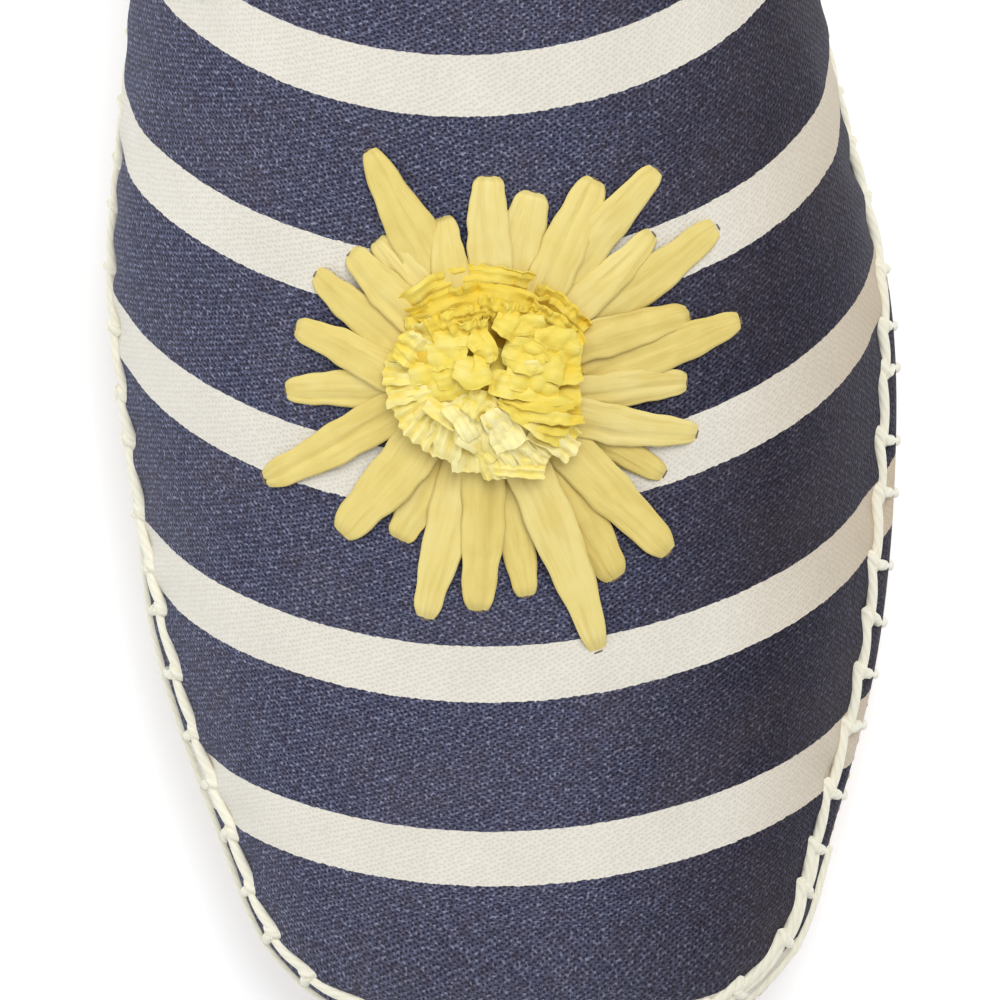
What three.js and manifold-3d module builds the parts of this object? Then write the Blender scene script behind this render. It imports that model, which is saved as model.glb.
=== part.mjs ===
// A flat espadrille for the right foot: a canvas upper sewn to a jute rope sole, with a raffia flower.
// Millimetres, +Z up. The toe points to -Y, the big-toe side is +X, and the shoe stands on Z = 0.
import * as THREE from 'three';
import { mergeVertices } from 'three/addons/utils/BufferGeometryUtils.js';
import Module from 'manifold-3d';

// Driving dimensions.
const SHOE_LENGTH = 254;
const TOE_Y = -SHOE_LENGTH / 2;
const FITTING_GAP = 0.3;

const RUBBER_THICKNESS = 3;
const RUBBER_INSET = 1.3;
const RUBBER_CHAMFER = 0.8;
const ROPE_ROUNDING = 1.6;
const INSOLE_THICKNESS = 3;

const TOE_SPRING = 5;
const FOREFOOT_FLAT = { start: 44, end: 92 };
const ARCH_LIFT = 1.6;
const HEEL_FLAT = { start: 186, end: 242 };
const HEEL_ROLL = 0.8;

const SEAM_INSET = 0.5;
const TOE_LEDGE = 2.5;
const CANVAS_WALL = 1.8;
const SWELL_HEIGHT = 12;
const SWELL_FOCUS = 1.6;
const HEEL_SWELL = 0.5;
const HEEL_LEAN = 5;
const HEEL_LEAN_HEIGHT = 45;
const HEEL_LEAN_START = 198;

const FLOWER = { x: 0, y: -44.2, radius: 12.2, depth: 8.5, petalRoom: 0.6 };

// How the outline closes: over `length` it shrinks to nothing as (1 - (1 - t)^sharp)^(1 / blunt).
const TOE_CLOSING = { length: 18, sharp: 2.2, blunt: 2.2 };
const HEEL_CLOSING = { length: 32, sharp: 2, blunt: 2.1 };
const TOE_BOX_CLOSING = { length: 22, sharp: 2.2, blunt: 1.2 };

// The sole: the axis is the middle of its width from the shoe's centre line, half is half its width,
// and deck is the height of its top edge.
const SOLE_ROWS = [
  { fromToe: 0, axis: 4, half: 27, deck: 20.6 },
  { fromToe: 22, axis: 3, half: 34.2, deck: 18.9 },
  { fromToe: 47, axis: 1.9, half: 41.8, deck: 18.2 },
  { fromToe: 72, axis: 0.8, half: 45.2, deck: 18.2 },
  { fromToe: 92, axis: -0.5, half: 45.6, deck: 18.5 },
  { fromToe: 109, axis: -1.9, half: 42.3, deck: 19 },
  { fromToe: 127, axis: -2.9, half: 38.7, deck: 19.6 },
  { fromToe: 152, axis: -4.3, half: 34.2, deck: 20.4 },
  { fromToe: 182, axis: -4.4, half: 32, deck: 21 },
  { fromToe: 217, axis: -3.1, half: 32, deck: 21 },
  { fromToe: 254, axis: -2.2, half: 30, deck: 21.3 },
];

// The last inside the upper: rise is the height of its ridge above the deck, crown and wall are the
// fullness of the section across and up, swell is how far the sides belly out (below zero they draw
// in), and ridge is how far the ridge stands from the axis towards the big-toe side.
const LAST_ROWS = [
  { fromToe: 0, rise: 13, crown: 2.7, wall: 2, swell: 0, ridge: 0 },
  { fromToe: 24, rise: 17.5, crown: 2.6, wall: 2, swell: -0.8, ridge: 0.5 },
  { fromToe: 47, rise: 23, crown: 2.4, wall: 2.05, swell: -1.4, ridge: 1 },
  { fromToe: 77, rise: 29, crown: 2.3, wall: 2.1, swell: -1.5, ridge: 2 },
  { fromToe: 107, rise: 35.5, crown: 2.15, wall: 2.2, swell: 1.4, ridge: 3 },
  { fromToe: 137, rise: 43, crown: 2.1, wall: 2.4, swell: 3, ridge: 3 },
  { fromToe: 167, rise: 60, crown: 2.2, wall: 2.8, swell: 3, ridge: 2 },
  { fromToe: 202, rise: 78, crown: 2.5, wall: 3.4, swell: 2.4, ridge: 0 },
  { fromToe: 254, rise: 82, crown: 2.6, wall: 3.6, swell: 1.6, ridge: 0 },
];

// The edge of the opening, seen from the side. The throat climbs over the instep from the notch where
// the heel quarter joins the vamp, and the topline runs from that notch to the back of the heel.
const THROAT_ROWS = [
  { height: 45.5, fromToe: 128.5 },
  { height: 52, fromToe: 136 },
  { height: 60, fromToe: 140.5 },
  { height: 70, fromToe: 142.5 },
];
const TOPLINE_ROWS = [
  { fromToe: 128.5, height: 45.5 },
  { fromToe: 142, height: 45.2 },
  { fromToe: 162, height: 47 },
  { fromToe: 187, height: 51.5 },
  { fromToe: 212, height: 57 },
  { fromToe: 237, height: 62 },
  { fromToe: 260, height: 65 },
];
const OPENING_STEPS = 16;
const OPENING_TOP = 120;

const STATIONS = 44;
const ARCH_STEPS = 32;

const canvasNavy = new THREE.MeshStandardMaterial({ color: 0x3e425f, roughness: 0.9, metalness: 0 });
const jute = new THREE.MeshStandardMaterial({ color: 0xcdb48c, roughness: 0.95, metalness: 0 });
const rubber = new THREE.MeshStandardMaterial({ color: 0xb98f62, roughness: 0.7, metalness: 0 });
const insoleCanvas = new THREE.MeshStandardMaterial({ color: 0xe6dcc8, roughness: 0.9, metalness: 0 });
const raffia = new THREE.MeshStandardMaterial({ color: 0xeed97c, roughness: 0.6, metalness: 0 });

const wasm = await Module();
wasm.setup();

// The value of one column where the key column has the given value, on a smooth curve through the
// rows.
function columnAt(rows, column, value, key = 'fromToe') {
  const last = rows.length - 1;
  const at = Math.min(Math.max(value, rows[0][key]), rows[last][key]);
  let i = 0;
  while (i < last - 1 && at > rows[i + 1][key]) {
    i += 1;
  }
  const slopeAt = (k) => {
    const before = rows[Math.max(k - 1, 0)];
    const after = rows[Math.min(k + 1, last)];
    return (after[column] - before[column]) / (after[key] - before[key]);
  };
  const span = rows[i + 1][key] - rows[i][key];
  const t = (at - rows[i][key]) / span;
  const t2 = t * t;
  const t3 = t2 * t;
  return (2 * t3 - 3 * t2 + 1) * rows[i][column]
    + (t3 - 2 * t2 + t) * span * slopeAt(i)
    + (3 * t2 - 2 * t3) * rows[i + 1][column]
    + (t3 - t2) * span * slopeAt(i + 1);
}

// 0 at an end of the shoe, rising to 1 over the closing's length.
function closingAt(distance, closing) {
  if (distance >= closing.length) {
    return 1;
  }
  const left = 1 - Math.max(distance, 0) / closing.length;
  return Math.pow(1 - Math.pow(left, closing.sharp), 1 / closing.blunt);
}

// Height of the sole's underside above the floor: flat under the forefoot and the heel.
function liftAt(y) {
  const fromToe = y - TOE_Y;
  if (fromToe < FOREFOOT_FLAT.start) {
    return TOE_SPRING * Math.pow(1 - fromToe / FOREFOOT_FLAT.start, 2.2);
  }
  if (fromToe > FOREFOOT_FLAT.end && fromToe < HEEL_FLAT.start) {
    const t = (fromToe - FOREFOOT_FLAT.end) / (HEEL_FLAT.start - FOREFOOT_FLAT.end);
    return ARCH_LIFT * Math.pow(Math.sin(Math.PI * t), 2);
  }
  if (fromToe > HEEL_FLAT.end) {
    return HEEL_ROLL * Math.pow((fromToe - HEEL_FLAT.end) / (SHOE_LENGTH - HEEL_FLAT.end), 2);
  }
  return 0;
}

function deckAt(y) {
  return columnAt(SOLE_ROWS, 'deck', y - TOE_Y);
}

// The sole's outline drawn in by inset, at a station from 0 at the toe to 1 at the heel. At the toe
// it also stands back by ledge.
function outlineAt(station, inset, ledge = 0) {
  const along = station * SHOE_LENGTH;
  const y = TOE_Y + inset + ledge + station * (SHOE_LENGTH - 2 * inset - ledge);
  const closing = closingAt(along, TOE_CLOSING) * closingAt(SHOE_LENGTH - along, HEEL_CLOSING);
  const half = (columnAt(SOLE_ROWS, 'half', along) - inset) * closing;
  const axis = columnAt(SOLE_ROWS, 'axis', along);
  return { along, y, axis, half, closing };
}

// Stations crowd together towards both ends, where the outline turns.
function stationList() {
  return Array.from({ length: STATIONS + 1 }, (_, i) => (1 - Math.cos(Math.PI * i / STATIONS)) / 2);
}

// A closed surface through rings of equal length, whose first and last rings close on themselves.
function wrap(rings) {
  const positions = [];
  for (let i = 0; i + 1 < rings.length; i += 1) {
    const size = rings[i].length;
    for (let j = 0; j < size; j += 1) {
      const a = rings[i][j];
      const b = rings[i][(j + 1) % size];
      const c = rings[i + 1][(j + 1) % size];
      const d = rings[i + 1][j];
      positions.push(...a, ...c, ...b, ...a, ...d, ...c);
    }
  }
  const geometry = new THREE.BufferGeometry();
  geometry.setAttribute('position', new THREE.Float32BufferAttribute(positions, 3));
  return toSolid(geometry);
}

// A solid for cutting and joining, from a closed geometry.
function toSolid(geometry) {
  geometry.deleteAttribute('normal');
  geometry.deleteAttribute('uv');
  const merged = mergeVertices(geometry, 1e-4);
  const corners = merged.index.array;
  const kept = [];
  for (let i = 0; i < corners.length; i += 3) {
    const [a, b, c] = [corners[i], corners[i + 1], corners[i + 2]];
    if (a !== b && b !== c && c !== a) {
      kept.push(a, b, c);
    }
  }
  const triVerts = new Uint32Array(kept);
  const vertProperties = new Float32Array(merged.attributes.position.array);
  return new wasm.Manifold(new wasm.Mesh({ numProp: 3, vertProperties, triVerts }));
}

function toMesh(solid, name, material) {
  const { vertProperties, triVerts } = solid.getMesh();
  const geometry = new THREE.BufferGeometry();
  geometry.setAttribute('position', new THREE.BufferAttribute(new Float32Array(vertProperties), 3));
  geometry.setIndex(new THREE.BufferAttribute(new Uint32Array(triVerts), 1));
  geometry.computeVertexNormals();
  const mesh = new THREE.Mesh(geometry, material);
  mesh.name = name;
  return mesh;
}

// A plate with the sole's outline. Its levels run from the underside up, each with its inset and
// its height as a function of y.
function plate(levels) {
  return wrap(stationList().map((station) => {
    const rims = levels.map(({ inset, heightAt }) => {
      const { y, axis, half } = outlineAt(station, inset);
      return { lateral: [axis - half, y, heightAt(y)], medial: [axis + half, y, heightAt(y)] };
    });
    return [...rims.map((rim) => rim.medial), ...rims.reverse().map((rim) => rim.lateral)];
  }));
}

// A point on the last's surface: turn runs from 0 at the lateral seam over the ridge to 1 at the
// medial seam. Inset draws the surface in, at its sides, its ends and its ridge.
function lastPoint(station, turn, inset) {
  const { along, y, axis, half, closing } = outlineAt(station, SEAM_INSET + inset, TOE_LEDGE);
  const fullRise = columnAt(LAST_ROWS, 'rise', along) - inset;
  const rise = fullRise * closingAt(along, TOE_BOX_CLOSING);
  const angle = Math.PI * turn;
  const climb = Math.pow(Math.sin(angle), 2 / columnAt(LAST_ROWS, 'wall', along));
  const reach = Math.pow(Math.abs(Math.cos(angle)), 2 / columnAt(LAST_ROWS, 'crown', along));
  const up = climb * rise;
  const belly = Math.pow((up / SWELL_HEIGHT) * Math.exp(1 - up / SWELL_HEIGHT), SWELL_FOCUS);
  const side = turn < 0.5 ? -1 : 1;
  const swell = columnAt(LAST_ROWS, 'swell', along) * closing * belly;
  const ridge = columnAt(LAST_ROWS, 'ridge', along) * closing * climb * climb;
  const back = THREE.MathUtils.smoothstep(along, HEEL_LEAN_START, SHOE_LENGTH);
  const lean = HEEL_LEAN * Math.pow(up / HEEL_LEAN_HEIGHT, 1.6) * back;
  return [
    axis + ridge + side * reach * (half + swell),
    y - lean + HEEL_SWELL * belly * back * back,
    deckAt(y) + FITTING_GAP + up,
  ];
}

// The last as a solid, drawn in by inset, with its underside lowered by drop.
function lastSolid(inset, drop) {
  return wrap(stationList().map((station) => {
    const arch = Array.from({ length: ARCH_STEPS + 1 }, (_, j) => lastPoint(station, j / ARCH_STEPS, inset));
    if (drop === 0) {
      return arch.reverse();
    }
    const below = ([x, y, z]) => [x, y, z - drop];
    return [below(arch[0]), ...arch, below(arch[ARCH_STEPS])].reverse();
  }));
}

// Values of a key column from its last row to its first, or from first to last.
function spread(rows, key, backwards) {
  const first = rows[0][key];
  const reach = rows[rows.length - 1][key] - first;
  const steps = Array.from({ length: OPENING_STEPS + 1 }, (_, i) => first + reach * i / OPENING_STEPS);
  return backwards ? steps.reverse() : steps;
}

// Everything above the topline and behind the throat.
function openingCutter() {
  const width = SHOE_LENGTH;
  const shape = new THREE.Shape();
  shape.moveTo(THROAT_ROWS[THROAT_ROWS.length - 1].fromToe, OPENING_TOP);
  spread(THROAT_ROWS, 'height', true).forEach((height) => {
    shape.lineTo(columnAt(THROAT_ROWS, 'fromToe', height, 'height'), height);
  });
  spread(TOPLINE_ROWS, 'fromToe', false).slice(1).forEach((fromToe) => {
    shape.lineTo(fromToe, columnAt(TOPLINE_ROWS, 'height', fromToe));
  });
  shape.lineTo(TOPLINE_ROWS[TOPLINE_ROWS.length - 1].fromToe, OPENING_TOP);
  const geometry = new THREE.ExtrudeGeometry(shape, { depth: width, bevelEnabled: false });
  geometry.translate(0, 0, -width / 2);
  const stand = new THREE.Matrix4().makeBasis(
    new THREE.Vector3(0, 1, 0),
    new THREE.Vector3(0, 0, 1),
    new THREE.Vector3(1, 0, 0),
  );
  geometry.applyMatrix4(stand);
  geometry.translate(0, TOE_Y, 0);
  return toSolid(geometry);
}

function outsole() {
  const solid = plate([
    { inset: RUBBER_INSET + RUBBER_CHAMFER, heightAt: liftAt },
    { inset: RUBBER_INSET, heightAt: (y) => liftAt(y) + RUBBER_CHAMFER },
    { inset: RUBBER_INSET, heightAt: (y) => liftAt(y) + RUBBER_THICKNESS },
  ]);
  return toMesh(solid, 'outsole', rubber);
}

function ropeSole() {
  const underside = (y) => liftAt(y) + RUBBER_THICKNESS + FITTING_GAP;
  const solid = plate([
    { inset: ROPE_ROUNDING, heightAt: underside },
    { inset: ROPE_ROUNDING * 0.3, heightAt: (y) => underside(y) + ROPE_ROUNDING * 0.6 },
    { inset: 0, heightAt: (y) => underside(y) + ROPE_ROUNDING * 1.8 },
    { inset: 0, heightAt: (y) => deckAt(y) - ROPE_ROUNDING * 1.8 },
    { inset: ROPE_ROUNDING * 0.3, heightAt: (y) => deckAt(y) - ROPE_ROUNDING * 0.6 },
    { inset: ROPE_ROUNDING, heightAt: deckAt },
  ]);
  return toMesh(solid, 'rope_sole', jute);
}

function upper() {
  const wall = lastSolid(0, 0).subtract(lastSolid(CANVAS_WALL, 2));
  return toMesh(wall.subtract(openingCutter()), 'upper', canvasNavy);
}

function insole() {
  const board = plate([
    { inset: SEAM_INSET, heightAt: (y) => deckAt(y) + FITTING_GAP },
    { inset: SEAM_INSET, heightAt: (y) => deckAt(y) + FITTING_GAP + INSOLE_THICKNESS },
  ]);
  return toMesh(board.intersect(lastSolid(CANVAS_WALL + FITTING_GAP, 2)), 'insole', insoleCanvas);
}

function flowerCentre() {
  const { x, y, radius, depth, petalRoom } = FLOWER;
  const seat = columnAt(LAST_ROWS, 'rise', y - TOE_Y) + deckAt(y);
  const ball = new THREE.SphereGeometry(radius, 28, 16);
  ball.rotateX(Math.PI / 2);
  ball.scale(1, 1, depth / radius);
  ball.translate(x, y, seat);
  return toMesh(toSolid(ball).subtract(lastSolid(-petalRoom, 0)), 'flower_centre', raffia);
}

const espadrille = new THREE.Group();
espadrille.add(outsole(), ropeSole(), insole(), upper(), flowerCentre());

// The origin is under the middle of the whole shoe's box.
const middle = new THREE.Box3().setFromObject(espadrille).getCenter(new THREE.Vector3());
espadrille.position.set(-middle.x, -middle.y, 0);

export default espadrille;
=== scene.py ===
import math
import bmesh
import bpy
import numpy as np
from mathutils import Matrix, Vector
from mathutils.bvhtree import BVHTree


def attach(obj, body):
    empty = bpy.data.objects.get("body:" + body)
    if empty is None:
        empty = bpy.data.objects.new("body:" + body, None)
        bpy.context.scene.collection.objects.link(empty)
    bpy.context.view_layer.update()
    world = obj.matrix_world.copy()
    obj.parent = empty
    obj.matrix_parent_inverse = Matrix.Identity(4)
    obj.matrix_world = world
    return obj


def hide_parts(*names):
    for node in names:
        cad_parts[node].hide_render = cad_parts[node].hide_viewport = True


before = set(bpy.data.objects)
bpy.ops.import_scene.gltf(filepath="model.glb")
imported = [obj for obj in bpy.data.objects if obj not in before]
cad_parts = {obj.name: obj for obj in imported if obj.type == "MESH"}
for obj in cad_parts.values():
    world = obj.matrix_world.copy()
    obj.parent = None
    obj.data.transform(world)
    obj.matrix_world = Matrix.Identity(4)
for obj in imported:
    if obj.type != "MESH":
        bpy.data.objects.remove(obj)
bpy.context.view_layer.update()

# The camera looks straight down on the toe, from a little towards the big-toe side.
CAMERA_TARGET = Vector((0.00035, -0.0588, 0.030))
CAMERA_DISTANCE = 1.4
CAMERA_LEAN = math.radians(3)
VIEW_WIDTH = 0.1163

camera_data = bpy.data.cameras.new("camera")
camera_data.sensor_width = 36
camera_data.lens = 36 * CAMERA_DISTANCE / VIEW_WIDTH
camera = bpy.data.objects.new("camera", camera_data)
away = Vector((math.sin(CAMERA_LEAN), 0, math.cos(CAMERA_LEAN)))
camera.location = CAMERA_TARGET + away * CAMERA_DISTANCE
right = Vector((math.cos(CAMERA_LEAN), 0, -math.sin(CAMERA_LEAN)))
camera.rotation_euler = Matrix((right, Vector((0, 1, 0)), away)).transposed().to_euler()
bpy.context.scene.collection.objects.link(camera)
bpy.context.scene.camera = camera

# The shoe's sizes in millimetres: toe towards -Y, big-toe side towards +X, floor at Z = 0.
MM = 0.001
SHOE_LENGTH = 254.0
TOE_Y = -SHOE_LENGTH / 2
FITTING_GAP = 0.3
SEAM_INSET = 0.5
TOE_LEDGE = 2.5
CANVAS_WALL = 1.8
RUBBER_THICKNESS = 3.0
RUBBER_INSET = 1.3
INSOLE_THICKNESS = 3.0
SWELL_HEIGHT = 12.0
SWELL_FOCUS = 1.6
HEEL_SWELL = 0.5
HEEL_LEAN = 5.0
HEEL_LEAN_HEIGHT = 45.0
HEEL_LEAN_START = 198.0
TOE_SPRING = 5.0
FOREFOOT_FLAT = (44.0, 92.0)
ARCH_LIFT = 1.6
HEEL_FLAT = (186.0, 242.0)
HEEL_ROLL = 0.8

# How the outline closes at an end: length, sharpness and bluntness.
TOE_CLOSING = (18.0, 2.2, 2.2)
HEEL_CLOSING = (32.0, 2.0, 2.1)
TOE_BOX_CLOSING = (22.0, 2.2, 1.2)


def table(columns, *rows):
    """A short table with named columns."""
    return {name: np.array(values, float) for name, values in zip(columns.split(), zip(*rows))}


SOLE = table(
    "from_toe axis half deck",
    (0, 4, 27, 20.6),
    (22, 3, 34.2, 18.9),
    (47, 1.9, 41.8, 18.2),
    (72, 0.8, 45.2, 18.2),
    (92, -0.5, 45.6, 18.5),
    (109, -1.9, 42.3, 19),
    (127, -2.9, 38.7, 19.6),
    (152, -4.3, 34.2, 20.4),
    (182, -4.4, 32, 21),
    (217, -3.1, 32, 21),
    (254, -2.2, 30, 21.3),
)
LAST = table(
    "from_toe rise crown wall swell ridge",
    (0, 13, 2.7, 2, 0, 0),
    (24, 17.5, 2.6, 2, -0.8, 0.5),
    (47, 23, 2.4, 2.05, -1.4, 1),
    (77, 29, 2.3, 2.1, -1.5, 2),
    (107, 35.5, 2.15, 2.2, 1.4, 3),
    (137, 43, 2.1, 2.4, 3, 3),
    (167, 60, 2.2, 2.8, 3, 2),
    (202, 78, 2.5, 3.4, 2.4, 0),
    (254, 82, 2.6, 3.6, 1.6, 0),
)
THROAT = table(
    "height from_toe",
    (45.5, 128.5),
    (52, 136),
    (60, 140.5),
    (70, 142.5),
)
TOPLINE = table(
    "from_toe height",
    (128.5, 45.5),
    (142, 45.2),
    (162, 47),
    (187, 51.5),
    (212, 57),
    (237, 62),
    (260, 65),
)

# The printed stripes: their repeat along the cloth, the width of the natural stripe, and how the
# cloth's crosswise lines sweep back towards the heel away from the ridge.
STRIPE_REPEAT = 22.26
STRIPE_WIDTH = 6.67
STRIPE_START = -53.71
STRIPE_TURN = 0.053
STRIPE_SWEEP = 0.00763
STRIPE_FAN = 0.0000232
STRIPE_FAN_FROM = -60.0
STRIPE_SKEW = 0.00009
STRIPE_FLATTEN = 0.507e-6
STRIPE_SQUEEZE = 0.000545
STRIPE_DROP = 2.2
STRIPE_DROP_FADE = (-118, -107)
QUARTER_SLANT = 0.03
QUARTER_STRIPE_SHIFT = 3.3

FLOWER = (0.0, -44.2)

# ---------------------------------------------------------------------------------------------
# The last, as functions of the place along the shoe and round the section.


def column(rows, name, at, key="from_toe"):
    """Smooth curve through the rows of a table."""
    x, y = rows[key], rows[name]
    at = np.clip(at, x[0], x[-1])
    i = np.clip(np.searchsorted(x, at, side="left") - 1, 0, len(x) - 2)
    slope = np.gradient(y, x, edge_order=1)
    slope[1:-1] = (y[2:] - y[:-2]) / (x[2:] - x[:-2])
    span = x[i + 1] - x[i]
    t = (at - x[i]) / span
    return (
        (2 * t**3 - 3 * t**2 + 1) * y[i]
        + (t**3 - 2 * t**2 + t) * span * slope[i]
        + (3 * t**2 - 2 * t**3) * y[i + 1]
        + (t**3 - t**2) * span * slope[i + 1]
    )


def closing_at(distance, closing):
    length, sharp, blunt = closing
    left = 1 - np.clip(distance, 0, length) / length
    return (1 - left**sharp) ** (1 / blunt)


def smoothstep(value, low, high):
    t = np.clip((value - low) / (high - low), 0, 1)
    return t * t * (3 - 2 * t)


def lift_at(y):
    """Height of the sole's underside above the floor."""
    s = y - TOE_Y
    toe = TOE_SPRING * np.clip(1 - s / FOREFOOT_FLAT[0], 0, 1) ** 2.2
    arch = np.clip((s - FOREFOOT_FLAT[1]) / (HEEL_FLAT[0] - FOREFOOT_FLAT[1]), 0, 1)
    heel = np.clip((s - HEEL_FLAT[1]) / (SHOE_LENGTH - HEEL_FLAT[1]), 0, 1)
    return toe + ARCH_LIFT * np.sin(math.pi * arch) ** 2 + HEEL_ROLL * heel**2


def deck_at(y):
    return column(SOLE, "deck", y - TOE_Y)


def rope_low(y):
    return lift_at(y) + RUBBER_THICKNESS + FITTING_GAP


def outline_at(station, inset, ledge=0.0):
    along = station * SHOE_LENGTH
    y = TOE_Y + inset + ledge + station * (SHOE_LENGTH - 2 * inset - ledge)
    closing = closing_at(along, TOE_CLOSING) * closing_at(SHOE_LENGTH - along, HEEL_CLOSING)
    half = (column(SOLE, "half", along) - inset) * closing
    return along, y, column(SOLE, "axis", along), half, closing


def last_point(station, turn, inset=0.0):
    """A point of the last: turn runs from 0 at the lateral seam over the ridge to 1."""
    along, y, axis, half, closing = outline_at(station, SEAM_INSET + inset, TOE_LEDGE)
    rise = (column(LAST, "rise", along) - inset) * closing_at(along, TOE_BOX_CLOSING)
    angle = math.pi * turn
    climb = np.clip(np.sin(angle), 0, 1) ** (2 / column(LAST, "wall", along))
    reach = np.abs(np.cos(angle)) ** (2 / column(LAST, "crown", along))
    up = climb * rise
    belly = (up / SWELL_HEIGHT * np.exp(1 - up / SWELL_HEIGHT)) ** SWELL_FOCUS
    side = np.where(turn < 0.5, -1.0, 1.0)
    swell = column(LAST, "swell", along) * closing * belly
    ridge = column(LAST, "ridge", along) * closing * climb**2
    back = smoothstep(along, HEEL_LEAN_START, SHOE_LENGTH)
    lean = HEEL_LEAN * (up / HEEL_LEAN_HEIGHT) ** 1.6 * back
    x = axis + ridge + side * reach * (half + swell)
    return np.stack([x, y - lean + HEEL_SWELL * belly * back**2, deck_at(y) + FITTING_GAP + up], -1)


def stations(count, low=0.0, high=1.0):
    """Places along the shoe, closer together at its ends."""
    start, end = math.acos(1 - 2 * low), math.acos(1 - 2 * high)
    return (1 - np.cos(np.linspace(start, end, count))) / 2


def surface_normals(grid):
    """Outward normals of a grid of points, stations by turns."""
    du = np.gradient(grid, axis=0)
    dv = np.gradient(grid, axis=1)
    normal = np.cross(dv, du)
    size = np.linalg.norm(normal, axis=-1, keepdims=True)
    return normal / np.maximum(size, 1e-9)


# ---------------------------------------------------------------------------------------------
# Meshes.

MERGE_DISTANCE = 0.004


def link(name, data):
    """A new object for a mesh or a light, in the scene."""
    made = bpy.data.objects.new(name, data)
    bpy.context.scene.collection.objects.link(made)
    return made


def new_mesh(name, points, faces, uv=None, edges=(), smooth=True):
    """A mesh object from points in millimetres. uv holds one pair for each point."""
    mesh = bpy.data.meshes.new(name)
    mesh.from_pydata([tuple(p) for p in np.asarray(points, float) * MM], list(edges), faces)
    if uv is not None:
        corner = np.empty(len(mesh.loops), np.int64)
        mesh.loops.foreach_get("vertex_index", corner)
        layer = mesh.uv_layers.new(name="cloth")
        layer.data.foreach_set("uv", np.asarray(uv, np.float32)[corner].ravel())
    if smooth and faces:
        mesh.polygons.foreach_set("use_smooth", [True] * len(mesh.polygons))
    mesh.update()
    return link(name, mesh)


def grid_faces(rows, columns, closed=False, capped=False, base=0):
    """Faces of a grid of points. A closed grid joins its last column to its first."""
    i, j = np.meshgrid(np.arange(rows - 1), np.arange(columns - (not closed)), indexing="ij")
    i, j = i.ravel(), j.ravel()
    here, there, across = base + i * columns, base + (i + 1) * columns, (j + 1) % columns
    faces = [tuple(f) for f in np.stack([here + j, here + across, there + across, there + j], 1)]
    if capped:
        last = base + (rows - 1) * columns
        faces += [tuple(range(base, base + columns)), tuple(range(last + columns - 1, last - 1, -1))]
    return faces


def clip(points, faces, value, uv):
    """Keeps the side of the faces where value is above zero. Cut points are shared by neighbours."""
    points, uv = list(points), list(uv)
    cut = {}

    def between(a, b):
        key = (min(a, b), max(a, b))
        if key not in cut:
            t = value[a] / (value[a] - value[b])
            cut[key] = len(points)
            for data in (points, uv):
                data.append(data[a] + t * (data[b] - data[a]))
        return cut[key]

    kept = []
    for face in faces:
        ring = []
        for v, w in zip(face, face[1:] + face[:1]):
            if value[v] > 0:
                ring.append(v)
            if (value[v] > 0) != (value[w] > 0):
                ring.append(between(v, w))
        if len(ring) > 2:
            kept.append(tuple(ring))
    return np.array(points), kept, np.array(uv)


def tidy_mesh(piece, merge=True, outwards=True):
    """Merges doubles and drops loose points, then faces the surface outwards."""
    bm = bmesh.new()
    bm.from_mesh(piece.data)
    if merge:
        bmesh.ops.remove_doubles(bm, verts=bm.verts, dist=MERGE_DISTANCE * MM)
        bmesh.ops.delete(bm, geom=[v for v in bm.verts if not v.link_faces], context="VERTS")
    if outwards:
        bmesh.ops.recalc_face_normals(bm, faces=bm.faces)
    bm.to_mesh(piece.data)
    bm.free()


def finish_piece(piece, slot, *materials, replaces=None):
    """Every piece takes its materials and rides on the shoe's one body. Its slot is not used."""
    for material in materials:
        piece.data.materials.append(material)
    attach(piece, "root")
    if replaces:
        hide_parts(replaces)


# ---------------------------------------------------------------------------------------------
# Node building.


class Graph:
    """Adds nodes to a tree and links or sets their inputs."""

    def __init__(self, tree):
        self.tree = tree

    def add(self, kind, *inputs, **named):
        """Names in small letters are the node's settings, capitalised ones its inputs (_ is a space)."""
        node = self.tree.nodes.new(kind)
        for name, value in named.items():
            if name[0].islower():
                setattr(node, name, value)
        for socket, value in zip(node.inputs, inputs):
            self.feed(socket, value)
        for name, value in named.items():
            if name[0].isupper() and value is not None:
                self.feed(node.inputs[name.replace("_", " ")], value)
        return node

    def feed(self, socket, value):
        if value is None:
            return
        if isinstance(value, bpy.types.NodeSocket):
            self.tree.links.new(value, socket)
        elif isinstance(value, bpy.types.Node):
            self.tree.links.new(value.outputs[0], socket)
        else:
            socket.default_value = value

    def math(self, operation, *values):
        return self.add("ShaderNodeMath", *values, operation=operation).outputs[0]

    def vector(self, operation, a, b=None, scale=None):
        return self.add("ShaderNodeVectorMath", a, b, operation=operation, Scale=scale).outputs["Vector"]

    def mix(self, factor, a, b):
        return self.add("ShaderNodeMix", data_type="RGBA", Factor=factor, A=a, B=b).outputs["Result"]

    def ramp(self, value, low, high, out_low=0.0, out_high=1.0):
        node = self.add("ShaderNodeMapRange", value, low, high, out_low, out_high, clamp=True)
        return node.outputs["Result"]

    def noise(self, where, scale, detail=2.0, rough=0.5):
        node = self.add("ShaderNodeTexNoise", Vector=where, Scale=scale, Detail=detail, Roughness=rough)
        return node.outputs["Fac"]

    def split(self, vector):
        return self.add("ShaderNodeSeparateXYZ", vector).outputs

    def combine(self, x, y, z=0.0):
        return self.add("ShaderNodeCombineXYZ", x, y, z).outputs[0]

    def coordinates(self, kind="Object"):
        return self.add("ShaderNodeTexCoord").outputs[kind]

    def cloth_map(self):
        return self.add("ShaderNodeUVMap", uv_map="cloth").outputs[0]

    def group(self, tree, **values):
        return self.add("ShaderNodeGroup", node_tree=tree, **values).outputs


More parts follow.
